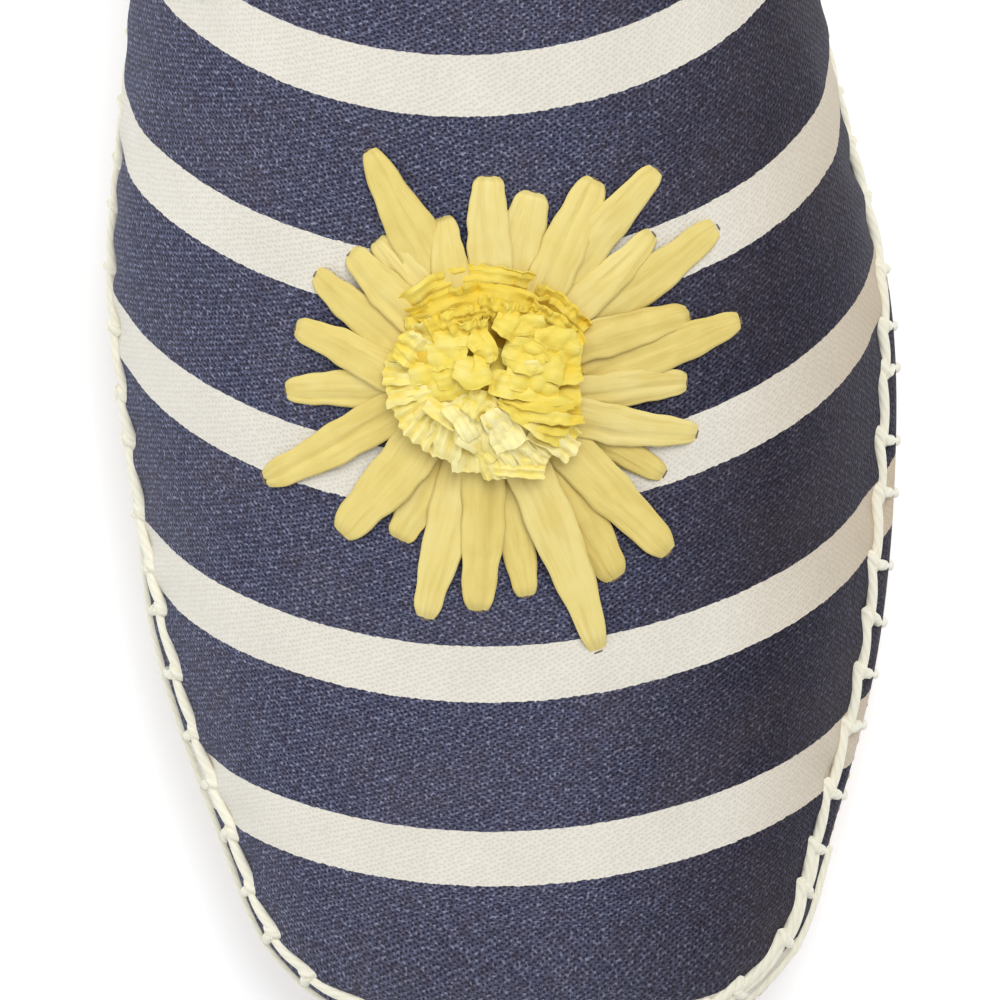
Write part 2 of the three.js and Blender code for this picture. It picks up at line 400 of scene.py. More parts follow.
def rgb(red, green, blue):
    """A colour named by its display values, 0 to 255, as linear light."""
    display = [value / 255 for value in (red, green, blue)]
    return (*[c / 12.92 if c <= 0.04045 else ((c + 0.055) / 1.055) ** 2.4 for c in display], 1.0)


def node_tree(kind, name, inputs, outputs):
    """An empty tree with its sockets. Inputs are name, kind and value, outputs name and kind."""
    tree = bpy.data.node_groups.new(name, kind)
    for label, socket_kind, value in inputs:
        socket = tree.interface.new_socket(label, in_out="INPUT", socket_type="NodeSocket" + socket_kind)
        if value is not None:
            socket.default_value = value
    for label, socket_kind in outputs:
        tree.interface.new_socket(label, in_out="OUTPUT", socket_type="NodeSocket" + socket_kind)
    graph = Graph(tree)
    return tree, graph, graph.add("NodeGroupInput").outputs, graph.add("NodeGroupOutput").inputs


def shader_group(name, inputs, outputs):
    return node_tree("ShaderNodeTree", name, inputs, [(label, "Float") for label in outputs])


def build_weave_group():
    """Woven cloth: thread floats in rows, each row stepped sideways to make a fine slanting rib."""
    inputs = [("Cloth", "Vector", None), ("Thread", "Float", 0.5), ("Step", "Float", 0.4)]
    tree, g, given, out = shader_group("woven threads", inputs, ("Height", "Random", "Slub"))
    turned = g.add("ShaderNodeVectorRotate", rotation_type="Z_AXIS", Vector=given["Cloth"])
    turned.inputs["Angle"].default_value = -RIB_SLANT
    place = g.split(turned)
    across = g.math("DIVIDE", place[0], given["Thread"])
    along = g.math("DIVIDE", place[1], g.math("MULTIPLY", given["Thread"], FLOAT_HEIGHT))
    across = g.math("MULTIPLY_ADD", g.math("FLOOR", along), given["Step"], across)
    lattice = g.add(
        "ShaderNodeTexVoronoi",
        voronoi_dimensions="2D",
        feature="F1",
        Vector=g.combine(across, along),
        Scale=1.0,
        Randomness=0.38,
    )
    random = g.split(lattice.outputs["Color"])[0]
    full = g.math("MULTIPLY_ADD", random, 0.3, 0.85)
    height = g.math("MULTIPLY", g.ramp(lattice.outputs["Distance"], 0.1, 0.5), full)
    grain = g.noise(given["Cloth"], 4.5, 3.0, 0.75)
    slub = g.noise(g.vector("MULTIPLY", given["Cloth"], (0.9, 0.5, 0.0)), 1.0, 4.0, 0.65)
    g.feed(out["Height"], g.math("MULTIPLY_ADD", g.math("SUBTRACT", grain, 0.5), 0.5, height))
    g.feed(out["Random"], random)
    g.feed(out["Slub"], slub)
    return tree


def build_fibre_group():
    """Long fine fibres: streaks stretched along the piece, with wider folds that get painted shade."""
    inputs = [("Along", "Vector", None), ("Fibres", "Float", 6.0), ("Stretch", "Float", 0.05)]
    tree, g, given, out = shader_group("long fibres", inputs, ("Streak", "Fold", "Patch"))
    place = g.split(given["Along"])
    run = g.math("MULTIPLY", place[0], g.math("MULTIPLY", given["Fibres"], given["Stretch"]))
    where = g.combine(run, g.math("MULTIPLY", place[1], given["Fibres"]), place[2])
    broad = g.noise(g.vector("MULTIPLY", where, (0.7, 0.28, 1.0)), 1.0)
    g.feed(out["Streak"], g.noise(where, 1.0, 3.0, 0.6))
    g.feed(out["Fold"], g.ramp(broad, 0.36, 0.5))
    g.feed(out["Patch"], g.noise(given["Along"], 0.35))
    return tree


RIB_SLANT = math.radians(24.0)
FLOAT_HEIGHT = 0.92
WEAVE = build_weave_group()
FIBRE = build_fibre_group()

# ---------------------------------------------------------------------------------------------
# Materials.

NAVY = rgb(70, 74, 100)
# Painted shade: the dark colour the navy weave takes in the gaps between its threads.
INK_HOLE_SHADE = rgb(30, 31, 49)
INK_WARM = rgb(68, 64, 83)
INK_LIGHT = rgb(97, 101, 127)
# Painted highlight: pale glints on the tops of the navy threads.
INK_GLINT = rgb(152, 156, 181)
COTTON_LIGHT = rgb(226, 219, 204)
# Painted shade: the darker colour the natural weave takes in the gaps between its threads.
COTTON_HOLE_SHADE = rgb(198, 187, 168)
CLOTH_SOIL = rgb(120, 104, 92)
WHITE = (1, 1, 1, 1)
# Painted shade: multipliers that darken the canvas down the wall on the big-toe side.
INK_PAINTED_SIDE_SHADE = (0.35, 0.30, 0.31, 1)
COTTON_PAINTED_SIDE_SHADE = (0.71, 0.61, 0.50, 1)


def new_material(name, roughness, sheen=0.0, specular=0.5):
    """A material with its constant values on the shader's own sockets."""
    material = bpy.data.materials.new(name)
    material.use_nodes = True
    shader = material.node_tree.nodes["Principled BSDF"]
    shader.inputs["Roughness"].default_value = roughness
    shader.inputs["Sheen Weight"].default_value = sheen
    shader.inputs["Specular IOR Level"].default_value = specular
    return material, Graph(material.node_tree), shader


def dress(g, shader, colour, relief, depth, strength):
    """Gives the shader its colour, and a relief whose depth is in millimetres."""
    node = g.add("ShaderNodeBump", Strength=strength, Distance=depth * MM, Height=relief)
    g.feed(shader.inputs["Base Color"], colour)
    g.feed(shader.inputs["Normal"], node)


def natural_threads(g, weave, cotton):
    colour = g.mix(g.ramp(weave["Random"], 0, 1, 0.0, 0.2), cotton, COTTON_LIGHT)
    # Painted shade: the low places between the thread floats take the darker colour.
    return g.mix(g.ramp(weave["Height"], 0.0, 0.8, 0.36, 0), colour, COTTON_HOLE_SHADE)


def navy_threads(g, weave, cloth, ink):
    colour = g.mix(g.ramp(weave["Slub"], 0.42, 0.6), ink, INK_WARM)
    colour = g.mix(g.ramp(weave["Random"], 0.1, 1.0, 0.0, 0.45), colour, INK_LIGHT)
    # Painted shade: the low places between the thread floats take the dark colour.
    colour = g.mix(g.ramp(weave["Height"], 0.14, 0.8), INK_HOLE_SHADE, colour)
    # Painted highlight: pale glints where the noise is high on the tops of the thread floats.
    glint = g.ramp(g.noise(cloth, 2.4, 1.0), 0.5, 0.74)
    return g.mix(g.math("MULTIPLY", glint, g.ramp(weave["Height"], 0.5, 1.0)), colour, INK_GLINT)


def striped_threads(g, weave, cloth, ink, cotton):
    """Printed stripes with a ragged edge. Both colours get painted shade down the wall on the big-toe side.
    """
    inner = g.split(g.coordinates())[0]
    # Painted shade: the colours darken towards +X, down the big-toe side's wall.
    ink_painted_side_shade = g.mix(g.ramp(inner, 0.008, 0.032), WHITE, INK_PAINTED_SIDE_SHADE)
    cotton_painted_side_shade = g.mix(g.ramp(inner, 0.026, 0.046), WHITE, COTTON_PAINTED_SIDE_SHADE)
    edge = g.math("MULTIPLY_ADD", weave["Random"], 0.1, g.split(cloth)[1])
    edge = g.math("MULTIPLY_ADD", weave["Height"], 0.06, edge)
    phase = g.math("DIVIDE", g.math("SUBTRACT", STRIPE_START + 0.18, edge), STRIPE_REPEAT)
    return g.mix(
        g.math("LESS_THAN", g.math("FRACT", phase), STRIPE_WIDTH / STRIPE_REPEAT),
        g.vector("MULTIPLY", navy_threads(g, weave, cloth, ink), ink_painted_side_shade),
        g.vector("MULTIPLY", natural_threads(g, weave, cotton), cotton_painted_side_shade),
    )


def canvas_material(name, ink=None, cotton=None, thread=0.57, step=0.4):
    """Cotton canvas: navy, natural, or striped where both colours are given."""
    material, g, shader = new_material(name, 0.9, sheen=0.08, specular=0.2)
    cloth = g.cloth_map()
    weave = g.group(WEAVE, Cloth=cloth, Thread=thread, Step=step)
    if ink and cotton:
        colour = striped_threads(g, weave, cloth, ink, cotton)
    elif ink:
        colour = navy_threads(g, weave, cloth, ink)
    else:
        colour = natural_threads(g, weave, cotton)
    colour = g.mix(g.ramp(g.noise(cloth, 0.09, 3.0), 0.35, 0.7, 0.0, 0.08), colour, CLOTH_SOIL)
    dress(g, shader, colour, g.math("MULTIPLY_ADD", weave["Slub"], 0.5, weave["Height"]), 0.1, 0.7)
    return material


def jute_material():
    material, g, shader = new_material("jute rope", 0.85, sheen=0.1, specular=0.3)
    fibre = g.group(FIBRE, Along=g.cloth_map(), Fibres=4.0, Stretch=0.12)
    colour = g.mix(fibre["Streak"], rgb(176, 146, 104), rgb(222, 202, 164))
    colour = g.mix(g.ramp(fibre["Patch"], 0.35, 0.7), colour, rgb(198, 170, 128))
    # Painted shade: the folds between the fibres take a dark brown.
    colour = g.mix(g.math("SUBTRACT", 1.0, fibre["Fold"]), colour, rgb(140, 112, 76))
    dress(g, shader, colour, g.math("ADD", fibre["Streak"], fibre["Fold"]), 0.22, 0.9)
    return material


def yarn_material(name, light, dark):
    """Twisted yarn: slanting plies with fine fibres along them; painted shade darkens the ply grooves."""
    material, g, shader = new_material(name, 0.8, sheen=0.3, specular=0.3)
    along = g.cloth_map()
    place = g.split(along)
    ply = g.math("MULTIPLY_ADD", place[0], 0.55, place[1])
    ridge = g.math("ABSOLUTE", g.math("SINE", g.math("MULTIPLY", ply, math.pi)))
    fibre = g.group(FIBRE, Along=along, Fibres=7.0, Stretch=0.3)
    # Painted shade: the grooves between the plies take the dark colour and the crests the light one.
    colour = g.mix(g.math("POWER", ridge, 0.5), dark, light)
    colour = g.mix(g.math("MULTIPLY", fibre["Streak"], 0.35), colour, rgb(216, 209, 182))
    dress(g, shader, colour, g.math("MULTIPLY_ADD", fibre["Streak"], 0.5, ridge), 0.07, 0.8)
    return material


def raffia_material(name, deep, middle, pale, patchiness):
    """Dyed raffia: a waxy ribbon with fibres along it. Its tone runs from deep at 0 to pale at 1."""
    material, g, shader = new_material(name, 0.55, sheen=0.05, specular=0.3)
    # The tone attribute holds each piece's given tone; on the flower's ribbons it also holds painted shade by
    # height.
    tone = g.add("ShaderNodeAttribute", attribute_name="tone").outputs["Fac"]
    fibre = g.group(FIBRE, Along=g.cloth_map(), Fibres=3.2, Stretch=0.05)
    patch = g.math("MULTIPLY", g.math("SUBTRACT", fibre["Patch"], 0.5), patchiness)
    shade = g.math("ADD", tone, patch)
    shade = g.math("MULTIPLY_ADD", g.math("SUBTRACT", fibre["Streak"], 0.5), 0.35, shade)
    colour = g.mix(g.ramp(shade, -0.2, 0.4), deep, middle)
    colour = g.mix(g.ramp(shade, 0.4, 1.0), colour, pale)
    # Painted shade: the folds take some of the deep colour.
    colour = g.mix(g.math("MULTIPLY", g.math("SUBTRACT", 1.0, fibre["Fold"]), 0.3), colour, deep)
    g.feed(shader.inputs["Roughness"], g.ramp(fibre["Streak"], 0.2, 0.8, 0.45, 0.65))
    dress(g, shader, colour, g.math("ADD", fibre["Streak"], fibre["Fold"]), 0.06, 0.7)
    return material


def rubber_material():
    material, g, shader = new_material("gum rubber", 0.6, specular=0.4)
    where = g.coordinates()
    grain = g.noise(where, 900.0, 4.0, 0.7)
    colour = g.mix(g.ramp(g.noise(where, 40.0, 3.0), 0.3, 0.7), rgb(176, 138, 96), rgb(190, 154, 112))
    colour = g.mix(g.ramp(grain, 0.45, 0.75, 0.0, 0.3), colour, rgb(150, 114, 76))
    g.feed(shader.inputs["Roughness"], g.ramp(grain, 0.3, 0.7, 0.5, 0.75))
    dress(g, shader, colour, grain, 0.05, 0.6)
    return material


def raffia(name, patchiness, *shades):
    return raffia_material(name, *[rgb(*shade) for shade in shades], patchiness)


striped_canvas = canvas_material("striped canvas", ink=NAVY, cotton=rgb(235, 231, 219))
navy_canvas = canvas_material("navy binding", ink=rgb(64, 66, 94), thread=0.45, step=0.5)
lining_canvas = canvas_material("cotton lining", cotton=rgb(238, 233, 220), thread=0.4, step=0.5)
jute_rope = jute_material()
cotton_yarn = yarn_material("cotton yarn", rgb(246, 243, 226), rgb(236, 231, 206))
navy_thread = yarn_material("navy thread", rgb(74, 78, 104), rgb(46, 48, 72))
petal_raffia = raffia("petal raffia", 0.5, (206, 178, 86), (231, 211, 126), (243, 230, 166))
centre_raffia = raffia("centre raffia", 0.3, (233, 200, 52), (239, 219, 100), (248, 238, 172))
# Painted shade: the pad under the ribbons has deeper, more orange colours so that it shows as shadow between
# them.
pad_raffia_painted_shade = raffia("pad raffia painted shade", 0.3, (224, 184, 52), (231, 199, 72), (239, 216, 112))
gum_rubber = rubber_material()
hole_shadow = yarn_material("hole shadow", rgb(96, 66, 40), rgb(60, 40, 28))

# ---------------------------------------------------------------------------------------------
# Geometry trees for what repeats: thread runs, plaits and tread bars.


def geometry_tree(name, *inputs):
    ends = ("Geometry", "Geometry")
    return node_tree(
        "GeometryNodeTree", name, [(*ends, None), *inputs, ("Material", "Material", None)], [ends]
    )


def named(g, name, kind="FLOAT"):
    return g.add("GeometryNodeInputNamedAttribute", data_type=kind, Name=name).outputs["Attribute"]


def store(g, geometry, name, value, kind="FLOAT", domain="POINT"):
    return g.add(
        "GeometryNodeStoreNamedAttribute",
        data_type=kind,
        domain=domain,
        Geometry=geometry,
        Name=name,
        Value=value,
    )


def spline(g, value):
    return g.add("GeometryNodeSplineParameter").outputs[value]


def finish_tree(g, geometry, given, out):
    """Every tree ends in real geometry with its material."""
    realized = g.add("GeometryNodeRealizeInstances", geometry)
    g.feed(out["Geometry"], g.add("GeometryNodeSetMaterial", realized, Material=given["Material"]))


def lay_tubes(g, curve, radius, given, out):
    """Round tubes along curves, with a cloth map in millimetres along and round each one."""
    circle = g.add("GeometryNodeCurvePrimitiveCircle", Resolution=given["Sides"], Radius=radius)
    tube = g.add(
        "GeometryNodeCurveToMesh",
        Curve=store(g, curve, "run", spline(g, "Length")),
        Profile_Curve=store(g, circle, "turn", spline(g, "Factor")),
        Fill_Caps=True,
    )
    run = g.math("MULTIPLY_ADD", named(g, "run"), 1 / MM, named(g, "offset"))
    cloth = g.combine(run, g.math("MULTIPLY", named(g, "turn"), 4.0))
    mesh = store(g, tube, "cloth", cloth, "FLOAT2", "CORNER")
    finish_tree(g, g.add("GeometryNodeSetShadeSmooth", mesh), given, out)


def build_thread_tree():
    """Every point becomes a length of thread bent along the four places stored on it."""
    tree, g, given, out = geometry_tree(
        "thread runs",
        ("Thread Radius", "Float", 0.5 * MM),
        ("Bend Points", "Int", 10),
        ("Sides", "Int", 8),
    )
    line = g.add("GeometryNodeCurvePrimitiveLine", End=(0, 0, MM))
    fine = g.add("GeometryNodeResampleCurve", mode="COUNT", Curve=line, Count=given["Bend Points"])
    spread = g.add(
        "GeometryNodeInstanceOnPoints",
        Points=given["Geometry"],
        Instance=store(g, fine, "factor", spline(g, "Factor")),
    )
    t = named(g, "factor")

    def between(a, b):
        node = g.add("ShaderNodeMix", data_type="VECTOR")
        for socket, value in zip((0, 4, 5), (t, a, b)):
            g.feed(node.inputs[socket], value)
        return node.outputs[1]

    places = [named(g, name, "FLOAT_VECTOR") for name in THREAD_PLACES]
    while len(places) > 1:
        places = [between(a, b) for a, b in zip(places, places[1:])]
    runs = g.add("GeometryNodeRealizeInstances", spread)
    moved = g.add("GeometryNodeSetPosition", Geometry=runs, Position=places[0])
    swollen = g.add("GeometryNodeSetCurveRadius", Curve=moved, Radius=named(g, "thickness"))
    lay_tubes(g, swollen, given["Thread Radius"], given, out)
    return tree


def build_plait_tree():
    """Three strands swinging over and under each other along a path. The path stores outward."""
    tree, g, given, out = geometry_tree(
        "plait",
        ("Strand Radius", "Float", 1.2 * MM),
        ("Swing", "Float", 1.2 * MM),
        ("Depth", "Float", 0.7 * MM),
        ("Waves", "Int", 50),
        ("Points", "Int", 900),
        ("Sides", "Int", 8),
    )
    curve = g.add("GeometryNodeMeshToCurve", given["Geometry"])
    fine = g.add("GeometryNodeResampleCurve", mode="COUNT", Curve=curve, Count=given["Points"])
    outward = g.vector("NORMALIZE", named(g, "outward", "FLOAT_VECTOR"))
    waves = g.math("MULTIPLY", spline(g, "Factor"), given["Waves"])
    joined = g.add("GeometryNodeJoinGeometry")
    for strand in range(3):
        angle = g.math("ADD", g.math("MULTIPLY", waves, 2 * math.pi), 2 * math.pi * strand / 3)
        swing = g.math("MULTIPLY", g.math("SINE", angle), given["Swing"])
        depth = g.math("MULTIPLY", g.math("SINE", g.math("MULTIPLY", angle, 2.0)), given["Depth"])
        offset = g.vector("ADD", g.combine(0.0, 0.0, swing), g.vector("SCALE", outward, scale=depth))
        moved = g.add("GeometryNodeSetPosition", Geometry=fine, Offset=offset)
        g.feed(joined.inputs[0], store(g, moved, "offset", 17.0 * strand))
    lay_tubes(g, joined, given["Strand Radius"], given, out)
    return tree


def build_bar_tree():
    """A tread bar on every point, turned by the angle stored on it."""
    tree, g, given, out = geometry_tree("tread bars", ("Bar Size", "Vector", (6 * MM, 1.6 * MM, 1.2 * MM)))
    bar = g.add("GeometryNodeMeshCube", Size=given["Bar Size"])
    spread = g.add(
        "GeometryNodeInstanceOnPoints",
        Points=given["Geometry"],
        Instance=bar,
        Rotation=g.combine(0.0, 0.0, named(g, "angle")),
    )
    finish_tree(g, spread, given, out)
    return tree


THREAD_PLACES = ("start", "bend_a", "bend_b", "end")
THREAD_TREE = build_thread_tree()
PLAIT_TREE = build_plait_tree()
BAR_TREE = build_bar_tree()
WORKING_ATTRIBUTES = {*THREAD_PLACES, "thickness", "offset", "outward", "run", "turn", "factor", "angle"}


def grow(name, tree, points, attributes, edges=(), **settings):
    """Runs a geometry tree on points with attributes and keeps the result as a plain mesh."""
    seed = new_mesh(name + "_layout", points, [], edges=edges)
    for label, data in attributes.items():
        data = np.asarray(data, np.float32)
        kind, field = ("FLOAT", "value") if data.ndim == 1 else ("FLOAT_VECTOR", "vector")
        seed.data.attributes.new(label, kind, "POINT").data.foreach_set(field, data.ravel())
    modifier = seed.modifiers.new(tree.name, "NODES")
    modifier.node_group = tree
    for item in tree.interface.items_tree:
        key = item.name.replace(" ", "_")
        if item.item_type == "SOCKET" and item.in_out == "INPUT" and key in settings:
            modifier[item.identifier] = settings[key]
    depsgraph = bpy.context.evaluated_depsgraph_get()
    evaluated = seed.evaluated_get(depsgraph)
    mesh = bpy.data.meshes.new_from_object(evaluated, preserve_all_data_layers=True, depsgraph=depsgraph)
    seed.modifiers.remove(modifier)
    bpy.data.objects.remove(seed)
    mesh.name = name
    for label in [a.name for a in mesh.attributes if a.name in WORKING_ATTRIBUTES]:
        mesh.attributes.remove(mesh.attributes[label])
    return link(name, mesh)


def threads(name, runs, material, radius, bend_points=10, sides=8, slot="cotton_thread"):
    """Thread runs. Each run is four places in millimetres and a thickness."""
    runs = [run if len(run) == 5 else (*run, 1.0) for run in runs]
    places = [np.array([run[k] for run in runs], float) for k in range(4)]
    attributes = {label: place * MM for label, place in zip(THREAD_PLACES, places)}
    attributes["thickness"] = [run[4] for run in runs]
    attributes["offset"] = [37.3 * k for k in range(len(runs))]
    settings = {"Bend_Points": bend_points, "Sides": sides, "Material": material}
    piece = grow(name, THREAD_TREE, places[0], attributes, Thread_Radius=radius * MM, **settings)
    finish_piece(piece, slot)


# ---------------------------------------------------------------------------------------------
# Paths on the shoe.


def lengths_along(points, axis=0):
    """How far each point lies from the first, along one axis of an array of points."""
    reach = np.cumsum(np.linalg.norm(np.diff(points, axis=axis), axis=-1), axis)
    return np.concatenate([np.zeros_like(np.take(reach, [0], axis)), reach], axis)


def at_lengths(where, lengths, values):
    """The values at other distances along a path."""
    return np.stack([np.interp(where, lengths, row) for row in values.T], 1)


def resample(path, count, closed=False, extra=()):
    """The path at even spacing, with any extra values carried along."""
    made = [np.vstack([data, data[:1]]) if closed else data for data in (path, *extra)]
    lengths = lengths_along(made[0])
    where = np.linspace(0, lengths[-1], count, endpoint=not closed)
    made = [at_lengths(where, lengths, data) for data in made]
    return made if extra else made[0]


def tangents(path, closed=False):
    if closed:
        step = np.roll(path, -1, 0) - np.roll(path, 1, 0)
    else:
        step = np.gradient(path, axis=0)
    return step / np.linalg.norm(step, axis=1, keepdims=True)


def smooth_path(path, times, closed=False):
    for _ in range(times):
        if closed:
            path = (np.roll(path, 1, 0) + 2 * path + np.roll(path, -1, 0)) / 4
        else:
            path = np.vstack([path[:1], (path[:-2] + 2 * path[1:-1] + path[2:]) / 4, path[-1:]])
    return path


def unit(vectors):
    return vectors / np.maximum(np.linalg.norm(vectors, axis=-1, keepdims=True), 1e-9)


def turned_towards(vectors, way):
    """Turns round the vectors that point away from way."""
    return vectors * np.where((vectors * way).sum(-1, keepdims=True) < 0, -1, 1)


def turns(count):
    """Places round the section, closer together low on the walls."""
    even = np.linspace(0, 1, count)
    return 0.5 * even + 0.25 * (1 - np.cos(math.pi * even))


def section_places(count, low=0.0, high=1.0):
    """Stations along the shoe by places round its section."""
    return np.meshgrid(stations(count, low, high), turns(SECTION_POINTS), indexing="ij")


SECTION_POINTS = 161
SURFACE_STATIONS = 360
SURFACE = BVHTree.FromPolygons(
    [Vector(p) for p in last_point(*section_places(SURFACE_STATIONS)).reshape(-1, 3)],
    grid_faces(SURFACE_STATIONS, SECTION_POINTS),
)


def nearest(points):
    """The nearest places on the canvas, and the outward directions there."""
    hits = [SURFACE.find_nearest(Vector(p))[:2] for p in points]
    places = np.array([tuple(h[0]) for h in hits])
    normals = np.array([tuple(h[1]) for h in hits])
    inside = places * [0, 1, 0] + [0, 0, 14.0]
    return places, turned_towards(normals, places - inside)


def loop_round(medial, lateral, count):
    """A closed path down the big-toe side from the heel, round the toe and back."""
    return resample(np.vstack([medial[::-1], lateral[1:-1]]), count, closed=True)


def seam_loop(count):
    """The canvas's lower edge."""
    station = stations(400)
    sides = [last_point(station, np.full_like(station, turn)) for turn in (1, 0)]
    return loop_round(*sides, count)


def sole_loop(inset, height, count):
    """A level path round the rope sole: height runs from 0 at its underside to 1 at its deck."""
    _, y, axis, half, _ = outline_at(stations(400), inset)
    z = rope_low(y) + (deck_at(y) - rope_low(y)) * height
    return loop_round(*[np.stack([axis + side * half, y, z], 1) for side in (1, -1)], count)


def level_outward(path):
    """Level outward directions along a closed path that runs heel to toe down the +X side."""
    run = tangents(path, closed=True)
    return unit(np.stack([-run[:, 1], run[:, 0], np.zeros(len(run))], 1))


# ---------------------------------------------------------------------------------------------
# The canvas upper: a vamp with its tongue, and a heel quarter that tucks under it at the side seams.

NOTCH_HEIGHT = float(THROAT["height"][0])
VAMP_EDGE = 130.6
QUARTER_EDGE = 122.0
TUCK = 0.8
TUCK_FADE = (130.5, 139.0)
HEM_FLARE = (0.65, 0.45)
PUCKER = 0.25
PUCKER_HEIGHT = 5.0

# Soft creases: side (+1 is the big-toe side), the two ends as distance from the toe and
# height up the wall, then half-width and depth. A negative depth stands out as a ridge.
CREASES = table(
    "side start low end high width depth",
    (1, 98, 7, 121, 14, 4.5, 0.40),
    (1, 104, 13, 126, 23, 4.0, -0.30),
    (-1, 96, 6, 120, 15, 4.5, 0.40),
    (-1, 106, 15, 125, 25, 4.0, -0.30),
    (1, 139, 9, 161, 19, 4.0, 0.60),
    (1, 146, 20, 173, 14, 4.0, -0.45),
    (-1, 141, 18, 165, 8, 4.0, 0.60),
    (-1, 150, 8, 178, 21, 4.5, -0.45),
    (1, 196, 9, 224, 14, 4.0, 0.50),
    (-1, 200, 13, 229, 8, 4.0, 0.50),
    (1, 214, 24, 242, 20, 4.5, -0.40),
    (-1, 216, 22, 243, 26, 4.5, 0.45),
)


def crease_relief(along, height, side):
    total = np.zeros_like(along)
    for which, start, low, end, high, width, depth in zip(*CREASES.values()):
        run, rise = end - start, high - low
        t = np.clip(((along - start) * run + (height - low) * rise) / (run**2 + rise**2), 0, 1)
        gap = np.hypot(along - start - t * run, height - low - t * rise)
        fade = np.sin(math.pi * (0.15 + 0.7 * t)) ** 1.5
        total -= np.where(side == which, depth * fade * np.exp(-((gap / width) ** 2)), 0)
    return total


def hem_flare(along, side):
    """The vamp's hem stands out over the rope: all along the inner side, and round the outer toe."""
    inner = HEM_FLARE[0] * (1 - smoothstep(along, 112, 130))
    outer = HEM_FLARE[1] * (1 - smoothstep(along, 52, 66))
    return np.where(side > 0, inner, outer)


def pucker(edge, height, side):
    """The hem is drawn in between the stitches."""
    wave = np.sin(2 * math.pi * edge / 6.55 + side * 0.7) + 0.5 * np.sin(2 * math.pi * edge / 10.3 + 1.3)
    return PUCKER * wave * np.exp(-(((height - 3.5) / PUCKER_HEIGHT) ** 2)) * smoothstep(height, 0, 2.5)


def panel(name, low, high, count, keep_value, cloth_map, tuck=None):
    """A panel of canvas cut from the last's surface, made one wall with its lining later by give_wall."""
    station, turn = section_places(count, low, high)
    along = station * SHOE_LENGTH
    grid = last_point(station, turn, tuck(along) if tuck else 0.0)
    climb = lengths_along(grid, 1)
    girth = climb[:, -1:]
    height = np.minimum(climb, girth - climb)
    side = np.where(turn < 0.5, -1, 1)
    relief = pucker(lengths_along(grid[:, 0])[:, None], height, side)
    relief = relief + crease_relief(along, height, side) * smoothstep(height, 0, 4)
    relief = relief + hem_flare(along, side) * (1 - smoothstep(height, 0.4, 3.6))
    relief = relief * smoothstep(girth, 20, 50)
    uv = cloth_map(grid, climb - climb[:, SECTION_POINTS // 2, None], height)
    value = keep_value(grid[..., 1] - TOE_Y, grid[..., 2])
    place = (grid + surface_normals(grid) * relief[..., None]).reshape(-1, 3)
    faces = grid_faces(count, SECTION_POINTS)
    piece = new_mesh(name, *clip(place, faces, value.ravel(), uv.reshape(-1, 2)))
    tidy_mesh(piece, outwards=False)
    return piece


def vamp_cloth(grid, from_ridge, height):
    y = grid[..., 1]
    fan = y - STRIPE_FAN_FROM
    s = from_ridge
    run = y - STRIPE_TURN * s - STRIPE_SWEEP * s**2 - STRIPE_FAN * s**2 * fan
    run = run - STRIPE_SKEW * s * fan + STRIPE_FLATTEN * s**4
    run = run - STRIPE_SQUEEZE * (y - STRIPE_START) ** 2
    run = run + STRIPE_DROP * (1 - smoothstep(y, *STRIPE_DROP_FADE))
    return np.stack([s, run], -1)


def quarter_cloth(grid, from_ridge, height):
    reach = lengths_along(grid)
    from_heel = reach[-1:] - reach
    return np.stack([height + QUARTER_SLANT * from_heel, from_heel - QUARTER_STRIPE_SHIFT], -1)


def vamp_value(along, height):
    edge = np.where(height < NOTCH_HEIGHT, VAMP_EDGE, column(THROAT, "from_toe", height, "height"))
    return edge - along


def quarter_value(along, height):
    return np.minimum(column(TOPLINE, "height", along) - height, along - QUARTER_EDGE)


def quarter_tuck(along):
    return TUCK * (1 - smoothstep(along, *TUCK_FADE))


def give_wall(piece, thickness):
    wall = piece.modifiers.new("canvas wall", "SOLIDIFY")
    wall.thickness = thickness * MM
    wall.offset = -1
    wall.use_even_offset = True
    wall.material_offset = 1
    wall.use_quality_normals = True


vamp = panel("vamp", 0.0, 0.6, 250, vamp_value, vamp_cloth)
quarter = panel("heel_quarter", 0.47, 1.0, 200, quarter_value, quarter_cloth, quarter_tuck)
for piece, thickness in ((vamp, CANVAS_WALL), (quarter, CANVAS_WALL - TUCK)):
    finish_piece(piece, "canvas", striped_canvas, lining_canvas, replaces="upper" if piece is vamp else None)
    give_wall(piece, thickness)

# ---------------------------------------------------------------------------------------------
# Navy tape bound over the tongue's edge and the topline, with a row of stitches.

TAPE_WIDTH = 5.0
TAPE_THICKNESS = 0.55


def solve(low, high, above, steps=44):
    """Halves the gap between low and high until above changes from false to true there."""
    low, high = np.array(low, float), np.array(high, float)
    for _ in range(steps):
        middle = (low + high) / 2
        up = above(middle)
        high, low = np.where(up, middle, high), np.where(up, low, middle)
    return (low + high) / 2


def throat_path():
    def behind(station, turn):
        point = last_point(station, turn)
        return point[..., 1] - TOE_Y > column(THROAT, "from_toe", point[..., 2], "height")

    def above_notch(turn):
        station = np.full_like(turn, THROAT["from_toe"][0] / SHOE_LENGTH)
        return last_point(station, turn)[..., 2] > NOTCH_HEIGHT

    start = float(solve(np.zeros(1), np.full(1, 0.5), above_notch)[0])
    turn = np.linspace(start, 1 - start, 161)
    station = solve(np.full(161, 0.45), np.full(161, 0.62), lambda s: behind(s, turn))
    return last_point(station, turn)


